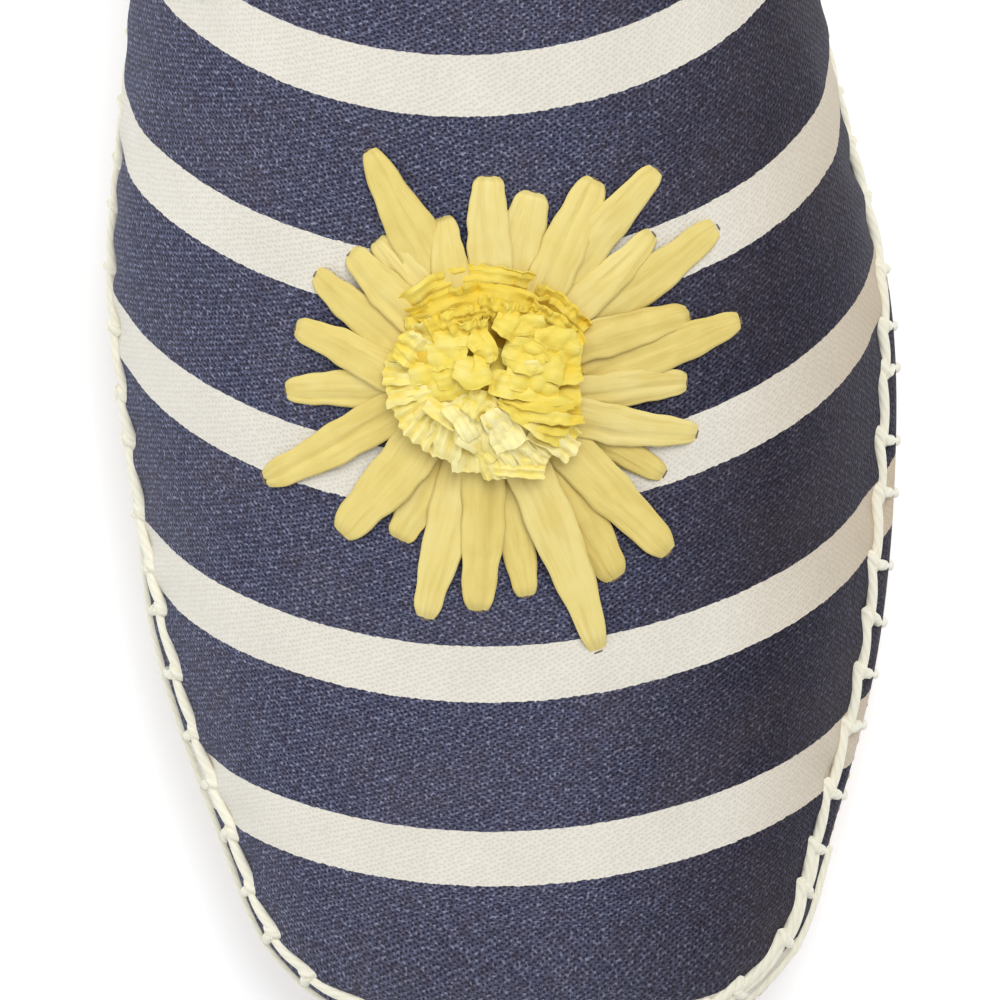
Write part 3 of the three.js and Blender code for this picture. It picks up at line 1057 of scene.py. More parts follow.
def topline_path():
    def above(station, turn):
        point = last_point(station, turn)
        return point[..., 2] > column(TOPLINE, "height", point[..., 1] - TOE_Y)

    station = stations(200, 0.5055, 1.0)
    turn = solve(np.zeros(200), np.full(200, 0.5), lambda t: above(station, t))
    inset = quarter_tuck(station * SHOE_LENGTH)
    lateral = last_point(station, turn, inset)
    medial = last_point(station, 1 - turn, inset)
    return np.vstack([lateral, medial[::-1][1:]])


def tape_section():
    """The tape's section, out from the canvas's face and in from its edge, folded over the edge."""
    t, depth, width = TAPE_THICKNESS, CANVAS_WALL + TAPE_THICKNESS, TAPE_WIDTH
    middle, bulge = (t - depth) / 2, (t + depth) / 2
    outer = [(t * 0.4, width), (t, width - 0.35), (t, width / 2), (t * 0.9, 0.6)]
    turn = np.linspace(math.pi / 2, -math.pi / 2, 7)[1:-1]
    fold = [(middle + bulge * math.sin(a), -0.9 * math.cos(a)) for a in turn]
    inner = [(-depth * 0.98, 0.6), (-depth, width / 2), (-depth, width - 0.35), (t * 0.6 - depth, width)]
    return np.array(outer + fold + inner)


def bind_edge(name, path, into, taper):
    """Tape folded over an edge and narrowed at its ends. into points along the canvas."""
    path = smooth_path(resample(path, int(lengths_along(path)[-1] / 0.9)), 6)
    run = tangents(path)
    normal = unit(smooth_path(nearest(path)[1], 8))
    along = turned_towards(unit(np.cross(run, normal)), np.array(into))
    section = tape_section()
    place = np.arange(len(path))
    narrow = 1 - taper * smoothstep(place, len(path) - 14, len(path) - 1)
    narrow = narrow - taper * 0.6 * (1 - smoothstep(place, 0, 9))
    rings = path[:, None] + normal[:, None] * section[None, :, :1]
    rings = rings + along[:, None] * section[None, :, 1:] * narrow[:, None, None]
    uv = np.stack(np.meshgrid(lengths_along(path), lengths_along(section), indexing="ij"), -1)
    faces = grid_faces(len(path), len(section), closed=True, capped=True)
    piece = new_mesh(name, rings.reshape(-1, 3), faces, uv.reshape(-1, 2))
    tidy_mesh(piece, merge=False)
    finish_piece(piece, "canvas", navy_canvas)
    return path, run, normal, along


def row_of_stitches(path, run, normal, along, inset, lift, pitch, length):
    """Short thread runs that lie on the face and dip into it at both ends."""
    count = int(lengths_along(path)[-1] / pitch)
    place, direction, out, side = resample(path, count, extra=(run, normal, along))
    base = place + side * inset + out * lift
    half = direction * length / 2
    dip, rise = out * 0.35, out * 0.25
    return list(zip(base - half - dip, base - half * 0.7 + rise, base + half * 0.7 + rise, base + half - dip))


binding_stitches = []
for label, path, into, taper in (
    ("tongue_binding", throat_path(), (0.0, -1.0, -0.6), 0.6),
    ("topline_binding", topline_path(), (0.0, 0.0, -1.0), 0.0),
):
    path, run, normal, along = bind_edge(label, path, into, taper)
    kept = slice(6, len(path) - 9) if taper else slice(None)
    path, run, normal, along = path[kept], run[kept], normal[kept], along[kept]
    binding_stitches += row_of_stitches(path, run, normal, along, TAPE_WIDTH - 1.0, TAPE_THICKNESS, 3.1, 2.3)

# ---------------------------------------------------------------------------------------------
# Side seams, the heel strip and their stitching.


def on_last(along, heights, side):
    """Places on the last at a distance from the toe and at lengths up the wall, with normals."""
    station = np.full(400, along / SHOE_LENGTH)
    turn = np.linspace(0, 0.5, 400)
    turn = turn if side < 0 else 1 - turn
    line = last_point(station, turn)
    place = at_lengths(heights, lengths_along(line), line)
    return place, nearest(place)[1]


def wall_height_at_notch(side):
    heights = np.linspace(0, 60, 601)
    place, _ = on_last(THROAT["from_toe"][0], heights, side)
    return float(np.interp(NOTCH_HEIGHT, place[:, 2], heights))


seam_stitches = []
for side in (-1, 1):
    top = wall_height_at_notch(side)
    heights = np.linspace(2.0, top - 3.5, 120)
    for setback in (1.1, 3.4):
        line, normal = on_last(VAMP_EDGE - setback, heights, side)
        run = tangents(line)
        across = unit(np.cross(run, normal))
        seam_stitches += row_of_stitches(line, run, normal, across, 0.0, 0.15, 2.6, 1.9)
    # A bar tack closes the notch: close threads laid across the seam, side by side.
    for k in range(13):
        h = top - (4.4 if side < 0 else 2.4) - 0.36 * k
        a, normal = on_last(VAMP_EDGE - (4.4 if side < 0 else -0.6), [h], side)
        b, _ = on_last(VAMP_EDGE + (0.4 if side < 0 else 3.4), [h], side)
        lift = normal[0] * 0.75
        seam_stitches.append((a[0], a[0] + lift, b[0] + lift, b[0] - normal[0] * 0.1))

threads("binding_stitches", binding_stitches, navy_thread, 0.24, 7, 6)
threads("side_seam_stitches", seam_stitches, navy_thread, 0.24, 7, 6)


def heel_strip():
    """A tape down the middle of the heel, over the quarter's back seam."""
    up = np.linspace(0.8, 43.5, 60)
    half_width, thickness = 6.0, 0.6
    across = np.linspace(-half_width, half_width, 25)
    rows, out = [], []
    for h in up:
        z = deck_at(127.0) + FITTING_GAP + h
        station, turn = stations(160, 0.9, 1.0), np.zeros(160)
        turn = solve(np.zeros(160), np.full(160, 0.5), lambda t: last_point(station, t)[..., 2] > z)
        lateral = last_point(station, turn)
        medial = last_point(station, 1 - turn)
        ring = np.vstack([lateral, medial[::-1][1:]])
        length = lengths_along(ring)
        place = at_lengths(across + length[len(lateral) - 1], length, ring)
        rows.append(place)
        out.append(nearest(place)[1])
    grid, normal = np.array(rows), unit(np.array(out))
    rim = np.clip((half_width - np.abs(across)) / 0.5, 0, 1) ** 0.5
    top = grid + normal * (0.08 + thickness * rim)[None, :, None]
    under = grid - normal * 0.5
    n, m = len(up), len(across)
    section = np.concatenate([top, under[:, ::-1]], 1)
    faces = grid_faces(n, 2 * m, closed=True, capped=True)
    uv = np.stack(np.meshgrid(up, np.concatenate([across, across[::-1]]), indexing="ij"), -1)
    piece = new_mesh("heel_strip", section.reshape(-1, 3), faces, uv.reshape(-1, 2))
    tidy_mesh(piece, merge=False)
    finish_piece(piece, "canvas", navy_canvas)
    stitches = []
    for column_at in (3, m - 4):
        line, out_line = top[:, column_at], normal[:, column_at]
        run = tangents(line)
        stitches += row_of_stitches(line, run, out_line, unit(np.cross(run, out_line)), 0.0, 0.0, 2.8, 2.0)
    threads("heel_strip_stitches", stitches, navy_thread, 0.24, 7, 6)


heel_strip()

# ---------------------------------------------------------------------------------------------
# The insole: a canvas sock on its board, dished a little under the foot.


def insole():
    count, across = 150, 41
    station = stations(count)
    along, y, axis, half, _ = outline_at(station, SEAM_INSET + 0.6, TOE_LEDGE)
    side = np.sin(np.linspace(-math.pi / 2, math.pi / 2, across))
    x = axis[:, None] + side[None] * half[:, None]
    rim = np.clip((1 - np.abs(side[None])) * half[:, None] / 2.2, 0, 1)
    rim = rim * np.clip(np.minimum(along, SHOE_LENGTH - along)[:, None] / 2.5, 0, 1)
    dish = 0.5 * smoothstep(along[:, None], 150, 230) * (1 - side[None] ** 2)
    dish = dish + 0.35 * np.exp(-(((along[:, None] - 80) / 30) ** 2)) * (1 - side[None] ** 2)
    low = np.broadcast_to((deck_at(y) + FITTING_GAP)[:, None], x.shape)
    top = low + INSOLE_THICKNESS - 0.7 * (1 - rim) ** 2 - dish
    flat_y = np.broadcast_to(y[:, None], x.shape)
    upper_side = np.stack([x, flat_y, top], -1)
    lower_side = np.stack([x, flat_y, low + 0.02], -1)
    ring = np.concatenate([upper_side, lower_side[:, ::-1]], 1)
    faces = grid_faces(count, 2 * across, closed=True)
    piece = new_mesh("insole_sock", ring.reshape(-1, 3), faces, ring[..., :2].reshape(-1, 2))
    tidy_mesh(piece)
    finish_piece(piece, "insole_canvas", lining_canvas, replaces="insole")
    edge_at = 4
    line = np.vstack([upper_side[6:-6, edge_at], upper_side[6:-6, -1 - edge_at][::-1]])
    line = resample(line, 500, closed=True)
    run = tangents(line, closed=True)
    out = np.tile([0.0, 0.0, 1.0], (len(line), 1))
    stitches = row_of_stitches(line, run, out, unit(np.cross(run, out)), 0.0, 0.05, 4.2, 3.0)
    threads("insole_stitches", stitches, cotton_yarn, 0.26, 7, 6)


insole()

# ---------------------------------------------------------------------------------------------
# The rope sole: a core wrapped by four plaits, one above the other, and a flat coil on its deck.

PLAIT_ROWS = 4
STRAND_RADIUS = 1.18
PLAIT_SWING = 1.35
PLAIT_DEPTH = 0.62
PLAIT_WAVE = 12.5
CORE_INSET = 2.4


def closed_plate(name, levels, count=150):
    """A plate with the sole's outline through levels of inset and height."""
    station = stations(count)
    rings = []
    for inset, height_at in levels:
        _, y, axis, half, _ = outline_at(station, inset)
        z = height_at(y)
        rings.append((np.stack([axis + half, y, z], 1), np.stack([axis - half, y, z], 1)))
    columns = [ring[0] for ring in rings] + [ring[1] for ring in reversed(rings)]
    grid = np.stack(columns, 1)
    faces = grid_faces(count, grid.shape[1], closed=True)
    piece = new_mesh(name, grid.reshape(-1, 3), faces, grid[..., :2].reshape(-1, 2), smooth=False)
    tidy_mesh(piece)
    return piece


core = closed_plate("rope_core", [(CORE_INSET, rope_low), (CORE_INSET, lambda y: deck_at(y) - 1.3)])
finish_piece(core, "jute", jute_rope, replaces="rope_sole")


def plait(name, path, swing=PLAIT_SWING, depth=PLAIT_DEPTH, radius=STRAND_RADIUS, phase=0):
    count = len(path)
    length = np.linalg.norm(np.roll(path, -1, 0) - path, axis=1).sum()
    piece = grow(
        name,
        PLAIT_TREE,
        np.roll(path, phase, 0),
        {"outward": np.roll(level_outward(path), phase, 0)},
        edges=[(k, (k + 1) % count) for k in range(count)],
        Strand_Radius=radius * MM,
        Swing=swing * MM,
        Depth=depth * MM,
        Waves=int(round(length / PLAIT_WAVE)),
        Points=int(length / 1.05),
        Sides=9,
        Material=jute_rope,
    )
    finish_piece(piece, "jute")


for row in range(PLAIT_ROWS):
    inset = STRAND_RADIUS + PLAIT_DEPTH + (0.25, 0.2, 0.3, 0.6)[row]
    path = sole_loop(inset, (row + 0.5) / PLAIT_ROWS, 700)
    plait(f"jute_plait_{row + 1}", path, phase=11 * row)

# The deck's coil shows where the canvas stands back from the sole's edge.
for ring, inset in enumerate((3.4, 6.6)):
    path = sole_loop(inset, 1.0, 650) - [0, 0, 1.25]
    plait(f"deck_coil_{ring + 1}", path, swing=0.2, depth=1.1, radius=1.05, phase=7)

# ---------------------------------------------------------------------------------------------
# The rubber outsole: a slab with a rim, and tread bars standing on the floor inside it.

TREAD_DEPTH = 0.9
TREAD_RIM = 4.0

slab = closed_plate(
    "rubber_outsole",
    [
        (TREAD_RIM + 0.5, lambda y: lift_at(y) + TREAD_DEPTH),
        (TREAD_RIM, lift_at),
        (RUBBER_INSET + 0.5, lift_at),
        (RUBBER_INSET + 0.15, lambda y: lift_at(y) + 0.2),
        (RUBBER_INSET, lambda y: lift_at(y) + 0.7),
        (RUBBER_INSET, lambda y: lift_at(y) + RUBBER_THICKNESS),
    ],
)
finish_piece(slab, "rubber", gum_rubber, replaces="outsole")


def tread():
    spots, angles = [], []
    for y in np.arange(-118.0, 119.0, 3.4):
        _, _, axis, half, _ = outline_at(np.array([(y - TOE_Y) / SHOE_LENGTH]), TREAD_RIM + 2.8)
        for place, x in enumerate(np.arange(-42.0, 43.0, 6.0)):
            if abs(x - axis[0]) < half[0] - 1.2:
                spots.append((x, y, float(lift_at(y)) + TREAD_DEPTH / 2 + 0.1))
                angles.append(0.6 if place % 2 else -0.6)
    size = Vector((5.6, 1.5, TREAD_DEPTH + 0.2)) * MM
    bars = grow("tread_bars", BAR_TREE, spots, {"angle": angles}, Bar_Size=size, Material=gum_rubber)
    finish_piece(bars, "rubber")


tread()

# ---------------------------------------------------------------------------------------------
# The blanket stitch that sews the canvas to the rope: a chain along the canvas, and at each of its
# knots a leg down over the edge into the jute.

STITCHES = 86
SEAM_POINTS = 960
CHAIN_HEIGHT = 4.2
YARN_RADIUS = 0.66
LEG_REACH = 4.4
jitter = np.random.RandomState(11)


def waist_side(y):
    """1 along the outer side from the ball of the foot to the waist, fading to 0 at both ends."""
    return smoothstep(y, -74, -62) * (1 - smoothstep(y, 20, 50))


def toe_corner(spot):
    """1 around the inner corner of the toe, where the stitches are doubled, falling to 0."""
    return math.exp(-(((spot[1] - TOE_Y - 16) / 13) ** 2)) if spot[0] > 0 else 0.0


def up_canvas(normal, run, outward):
    """Directions up the canvas, across the seam's run."""
    return turned_towards(unit(np.cross(normal, run)), [0, 0, 1] - outward * 0.5)


def chain_line(edge, outward):
    """The chain's middle line, up the canvas from its edge and lower along both waists."""
    x, y = edge[:, 0], edge[:, 1]
    toe = np.exp(-(((y - TOE_Y) / 9.0) ** 2))
    low_inner = smoothstep(y, -36, -14) * (1 - smoothstep(y, 20, 45))
    low = np.where(x < 0, waist_side(y), 0) + 1.5 * np.where(x > 0, low_inner, 0)
    climb = (CHAIN_HEIGHT + 0.8 * toe - 1.3 * low)[:, None]
    place, steps = edge, 4
    for _ in range(steps):
        run = tangents(place, closed=True)
        place, normal = nearest(place)
        place = place + up_canvas(normal, run, outward) * (climb / steps)
    place, normal = nearest(smooth_path(place, 3, closed=True))
    normal = unit(smooth_path(normal, 4, closed=True))
    return place, normal, up_canvas(normal, tangents(place, closed=True), outward)


def blanket_stitch():
    """Lays each stitch's threads by places along the seam, up the canvas and out from it."""
    edge = smooth_path(seam_loop(SEAM_POINTS), 4, closed=True)
    outward = level_outward(edge)
    line, normal, upward = chain_line(edge, outward)
    heel_middle = float(column(SOLE, "axis", np.array([250.0]))[0])
    step = SEAM_POINTS / STITCHES
    knots = (np.arange(STITCHES) + jitter.uniform(-0.19, 0.19, STITCHES)) * step
    reach = jitter.uniform(-0.25, 0.35, STITCHES)

    def at(data, where):
        return data[int(round(where)) % SEAM_POINTS]

    chain, legs, edge_runs, knobs = [], [], [], []
    for k, here in enumerate(knots):
        there = knots[(k + 1) % STITCHES] + (SEAM_POINTS if k == STITCHES - 1 else 0)
        one, two = here + (there - here) / 3, here + (there - here) * 2 / 3
        start, lip = at(line, here), at(edge, here)
        corner = toe_corner(lip)
        # The thread stands off by the tape's thickness where it crosses the heel.
        over_strip = start[1] > 100 and abs(start[0] - heel_middle) < 7.5
        lift = YARN_RADIUS * 0.55 + (0.65 if over_strip else 0.0)

        def spot(where, up, out):
            return at(line, where) + at(upward, where) * up + at(normal, where) * (lift + out)

        def thread(places, thickness):
            return (*[spot(*place) for place in places], thickness)

        rise, next_rise = reach[k], reach[(k + 1) % STITCHES]
        places = [(here - 0.9, 0.5 + rise, -0.55), (one, 0.5 + rise * 0.7, 0.2)]
        places += [(two, -0.05, 0.12), (there + 0.9, -0.5 + next_rise * 0.6, -0.35)]
        chain.append(thread(places, 1.02 + jitter.uniform(-0.12, 0.12) + 0.35 * corner))
        if corner > 0.25:
            places = [(here - 0.6, -0.5, -0.4), (one, -0.7, 0.1)]
            places += [(two, -1.25, 0.1), (there + 0.6, -1.3, -0.4)]
            chain.append(thread(places, 0.7 + 0.35 * corner))
        slip = jitter.uniform(-0.06, 0.06) * step
        lip = at(edge, here + slip)
        side = at(outward, here)
        foot = lip + side * 0.5 - np.array([0, 0, LEG_REACH])
        stand = max(-0.1, float(hem_flare(lip[1] - TOE_Y, lip[0])) - (0.65 if lip[0] > 0 else 0.35))
        lip = lip + side * stand + np.array([0, 0, 0.7])
        upper_leg = (spot(here, 0.35 + rise, 0.25), spot(here, -1.6, 0.15), lip + [0, 0, 1.4], lip)
        lower_leg = (lip, lip - [0, 0, 1.2], foot + side * 0.3 + [0, 0, 1.0], foot)
        legs += [(*upper_leg, 0.8 + 0.4 * corner), (*lower_leg, 0.8)]
        places = [(here - 1.2, 0.55 + rise, -0.7), (here - 0.5, 0.6 + rise, 0.25)]
        places += [(here + 0.8, 0.15 + rise, 0.25), (here + 1.5, -0.5, -0.6)]
        knobs.append(thread(places, 1.08 + 0.3 * corner))
        middle = at(edge, (here + there) / 2)
        if middle[0] > 12 and middle[1] > -102:
            continue
        tucked = []
        for where in (here - 0.7, one, two, there + 0.7):
            place = at(edge, where)
            tuck = 0.5 - 0.8 * float(waist_side(place[1])) + 0.3 * toe_corner(place)
            tucked.append(place + at(outward, where) * tuck + np.array([0, 0, 0.25]))
        edge_runs.append((*tucked, 0.55 + 0.3 * corner))
    threads("stitch_chain", chain, cotton_yarn, YARN_RADIUS, 12, 10)
    threads("stitch_legs", legs, cotton_yarn, YARN_RADIUS, 9, 10)
    threads("stitch_knots", knobs, cotton_yarn, YARN_RADIUS, 9, 10)
    threads("seam_thread", edge_runs, cotton_yarn, YARN_RADIUS, 10, 8)


blanket_stitch()

# ---------------------------------------------------------------------------------------------
# Raffia petals: long flat stitches of ribbon from the flower's centre, each tucked into the canvas
# at its tip. Angle from +X, length, widest width, how pointed the tip is, sideways bow, sideways
# shift of the root and height in the pile.

PETALS = table(
    "angle length width point bow root pile",
    (118, 29.3, 5.3, 0.75, -0.3, 0.6, 1),
    (106, 18.8, 3.9, 0.4, 0.2, 1.0, 3),
    (89.4, 22.8, 4.7, 0.3, 0.0, -0.4, 2),
    (75.4, 21.7, 5.0, 0.3, 0.1, -0.9, 1),
    (60.7, 25.8, 4.8, 0.35, -0.3, -1.1, 2),
    (50.2, 30.8, 4.3, 0.5, 0.5, -0.8, 1),
    (40.1, 25.2, 3.8, 0.5, -0.3, -1.2, 2),
    (32.7, 31.6, 4.4, 0.4, -0.6, -1.0, 0),
    (16, 24.4, 4.1, 0.45, 0.3, -0.2, 3),
    (12, 29.9, 4.7, 0.55, 0.0, -4.0, 1),
    (-2.4, 23.1, 4.0, 0.35, 0.0, -2.8, 2),
    (-16.4, 25.2, 4.3, 0.5, -0.4, -2.4, 3),
    (-30, 23.6, 3.6, 0.4, -0.2, 0.0, 0),
    (-45.5, 29.6, 5.0, 0.45, 0.4, 0.0, 2),
    (-58.6, 28.2, 5.5, 0.5, 0.3, 0.0, 1),
    (-69, 34.8, 5.1, 0.65, 0.8, -0.4, 3),
    (-81, 26.5, 4.2, 0.45, 0.0, 0.0, 0),
    (-93, 27.9, 4.6, 0.35, 0.1, 0.0, 2),
    (-105, 29.8, 4.8, 0.55, -0.2, 0.0, 1),
    (-119, 22.3, 4.6, 0.35, 0.2, 0.0, 0),
    (-133, 25.8, 5.5, 0.45, 0.3, -0.8, 2),
    (-155, 29.6, 4.6, 0.5, 0.3, -1.0, 1),
    (-175.6, 24.2, 4.1, 0.4, 0.0, 1.4, 0),
    (166.4, 23.4, 4.2, 0.5, -0.3, 4.0, 2),
    (150, 23.4, 4.2, 0.5, 0.4, 2.6, 1),
    (139, 21.4, 4.3, 0.5, 0.0, 1.0, 3),
    (129.5, 20.2, 4.2, 0.5, 0.0, 0.5, 2),
)
PETAL_ROWS = 40
PETAL_COLUMNS = 15
PETAL_START = 6.0
PETAL_FULLNESS = 1.1
RIBBON = 0.22


def canvas_height(x, y):
    hit = SURFACE.ray_cast(Vector((x, y, 200.0)), Vector((0, 0, -1)))[0]
    return hit.z


def set_tone(piece, values):
    layer = piece.data.attributes.new("tone", "FLOAT", "POINT")
    layer.data.foreach_set("value", np.asarray(values, np.float32))


def ribbon_mesh(name, material, ribbons, thickness):
    """Closed thin ribbons: grids of points, rows along and columns across, with cloth maps and tones."""
    points, faces, uv, tone = [], [], [], []
    for top, *data in ribbons:
        n, m = top.shape[:2]
        normal = surface_normals(top)
        normal = normal if normal[n // 2, m // 2, 2] > 0 else -normal
        under = top - normal * thickness
        base = n * 2 * m * len(points)
        faces += grid_faces(n, 2 * m, closed=True, base=base)
        for row, order in ((0, 1), (n - 1, -1)):
            ids = [base + row * 2 * m + k for k in range(2 * m)]
            for k in range(m - 1):
                faces.append((ids[k], ids[k + 1], ids[-2 - k], ids[-1 - k])[::order])
        points.append(np.concatenate([top, under[:, ::-1]], 1).reshape(-1, 3))
        flat, shade = [np.concatenate([values, values[:, ::-1]], 1) for values in data]
        uv.append(flat.reshape(-1, 2))
        tone.append(shade.ravel())
    piece = new_mesh(name, np.vstack(points), faces, np.vstack(uv))
    set_tone(piece, np.concatenate(tone))
    tidy_mesh(piece, merge=False)
    finish_piece(piece, "raffia", material)
    return piece


def wavering(q, rnd, waves):
    """A little wander along a petal: sums of waves, each with its depth and pace."""
    return sum(depth * np.sin(q * pace + rnd.uniform(0, 6)) for depth, pace in waves)


def pleats(k, q, rnd):
    """Two or three troughs that run along a petal."""
    total = np.zeros((len(q), k.shape[1]))
    for _ in range(rnd.randint(2, 4)):
        middle = rnd.uniform(-0.75, 0.75) + rnd.uniform(-0.35, 0.35) * q
        depth = rnd.uniform(0.14, 0.42) * np.clip(1.25 - q * rnd.uniform(0.5, 1.4), 0, 1)
        total -= depth * np.exp(-np.abs(k - middle) / rnd.uniform(0.10, 0.2))
    return total


def petal(rnd, ahead, length, width, point, bow, root, pile):
    """One petal from the flower's centre along ahead, laid on the canvas and diving into it at its tip."""
    q = 1 - (1 - np.linspace(0, 1, PETAL_ROWS)[:, None]) ** 1.25
    k = np.linspace(-1, 1, PETAL_COLUMNS)[None]
    run = PETAL_START + q * (length - PETAL_START)
    belly = 0.78 + 0.22 * np.sin(math.pi * np.clip(q * 0.92 + 0.05, 0, 1)) ** 0.8
    belly *= 1 - point * 0.55 * smoothstep(q, 0.45, 1.0)
    blunt = 0.09 + 0.05 * point
    belly *= np.where(q > 1 - blunt, np.sqrt(np.clip(1 - ((q - 1 + blunt) / blunt) ** 2, 0.03, 1)), 1)
    half = width * PETAL_FULLNESS / 2 * belly * (1 + wavering(q, rnd, [(0.03, 23), (0.02, 41)]))
    drift = root * (1 - q) + bow * np.sin(math.pi * q) + wavering(q, rnd, [(0.1, 9)])
    across = drift + half * k
    x = FLOWER[0] + ahead[0] * run - ahead[1] * across
    y = FLOWER[1] + ahead[1] * run + ahead[0] * across
    base = np.array([[canvas_height(a, b) for a, b in zip(r, s)] for r, s in zip(x[:, ::7], y[:, ::7])])
    fit = np.stack([np.interp(k[0], k[0, ::7], row) for row in base])
    lift = 0.35 + (0.55 + 0.42 * pile) * np.sin(math.pi * np.clip(1 - q, 0, 1) * 0.62) ** 0.7
    dive = smoothstep(q, 0.93, 1.0)
    crown = 0.3 * (1 - k**2) * (0.5 + 0.5 * np.sin(math.pi * q) ** 0.5)
    relief = crown + pleats(k, q, rnd)
    relief = relief + rnd.uniform(-0.25, 0.25) * k * np.sin(math.pi * q)
    z = fit + (lift * (1 - dive) - 0.25 * dive) + relief * (1 - 0.7 * dive)
    shift = rnd.uniform(0, 90)
    flat = np.stack(np.broadcast_arrays(run + shift, k * width / 2 + shift), -1)
    return np.stack([x, y, z], -1), flat, np.full(z.shape, rnd.uniform(0.25, 0.55))


def petals():
    """The petals, and at each tip a short dark thread as painted shadow where it goes into the canvas."""
    rnd = np.random.RandomState(5)
    ribbons, tip_shadows = [], []
    for angle, length, *shape in zip(*PETALS.values()):
        ahead = np.array([math.cos(math.radians(angle)), math.sin(math.radians(angle))])
        ribbons.append(petal(rnd, ahead, length, *shape))
        tip = FLOWER + ahead * (length - 0.4)
        here = np.array([*tip, canvas_height(*tip) - 0.05])
        aside = np.array([-ahead[1], ahead[0], 0.0]) * 0.5
        up = [0, 0, 0.1]
        tip_shadows.append((here - aside, here - aside * 0.4 + up, here + aside * 0.4 + up, here + aside))
    ribbon_mesh("petals", petal_raffia, ribbons, RIBBON)
    # Painted shadow: dark threads at the petal tips.
    threads("petal_holes", tip_shadows, hole_shadow, 0.11, 6, 6, slot="raffia")


petals()

# ---------------------------------------------------------------------------------------------
# The flower's centre: a crushed pad of raffia with ribbons folded, ruffled and pleated over it.

# Ribbons, given in millimetres from the flower's centre and above the canvas: the places its
# middle line passes through, its width at both ends, how far it is rolled about that line in degrees,
# the depth of its ruffles, of its pleats and of its puffed crown, and its tone (1 is pale, 0 deep).
UPPER_CRESCENT = ((-9.4, 6.4, 3.0), (-6.6, 9.2, 3.7), (-2, 10.6, 4.1), (2.6, 10.2, 4.1), (6.6, 8.8, 3.7))
LOWER_CRESCENT = ((-8.2, 5.0, 4.6), (-5.2, 7.4, 5.5), (-1, 8.4, 6.0), (3, 8.0, 6.0), (6.6, 6.6, 5.3))
RUFFLES = [
    (UPPER_CRESCENT, 4.2, 4.2, 18, 0.3, 0.2, 0.4, 0.16),
    (LOWER_CRESCENT, 4.0, 4.0, 18, 0.38, 0.2, 0.4, 0.0),
    (((-6.4, 4.6, 6.0), (-3.4, 5.9, 6.7), (-0.4, 6.4, 7.0)), 3.0, 3.2, 30, 0.5, 0.2, 0.3, 0.14),
    (((-0.6, 7.6, 6.4), (2.2, 6.9, 7.1), (5.6, 5.8, 6.4)), 3.0, 3.0, 34, 0.55, 0.2, 0.3, 0.08),
    (((-3.8, 4.4, 7.0), (-2.0, 5.0, 7.4), (0.4, 5.0, 7.4)), 2.0, 2.4, 44, 0.4, 0.2, 0.2, 0.22),
]
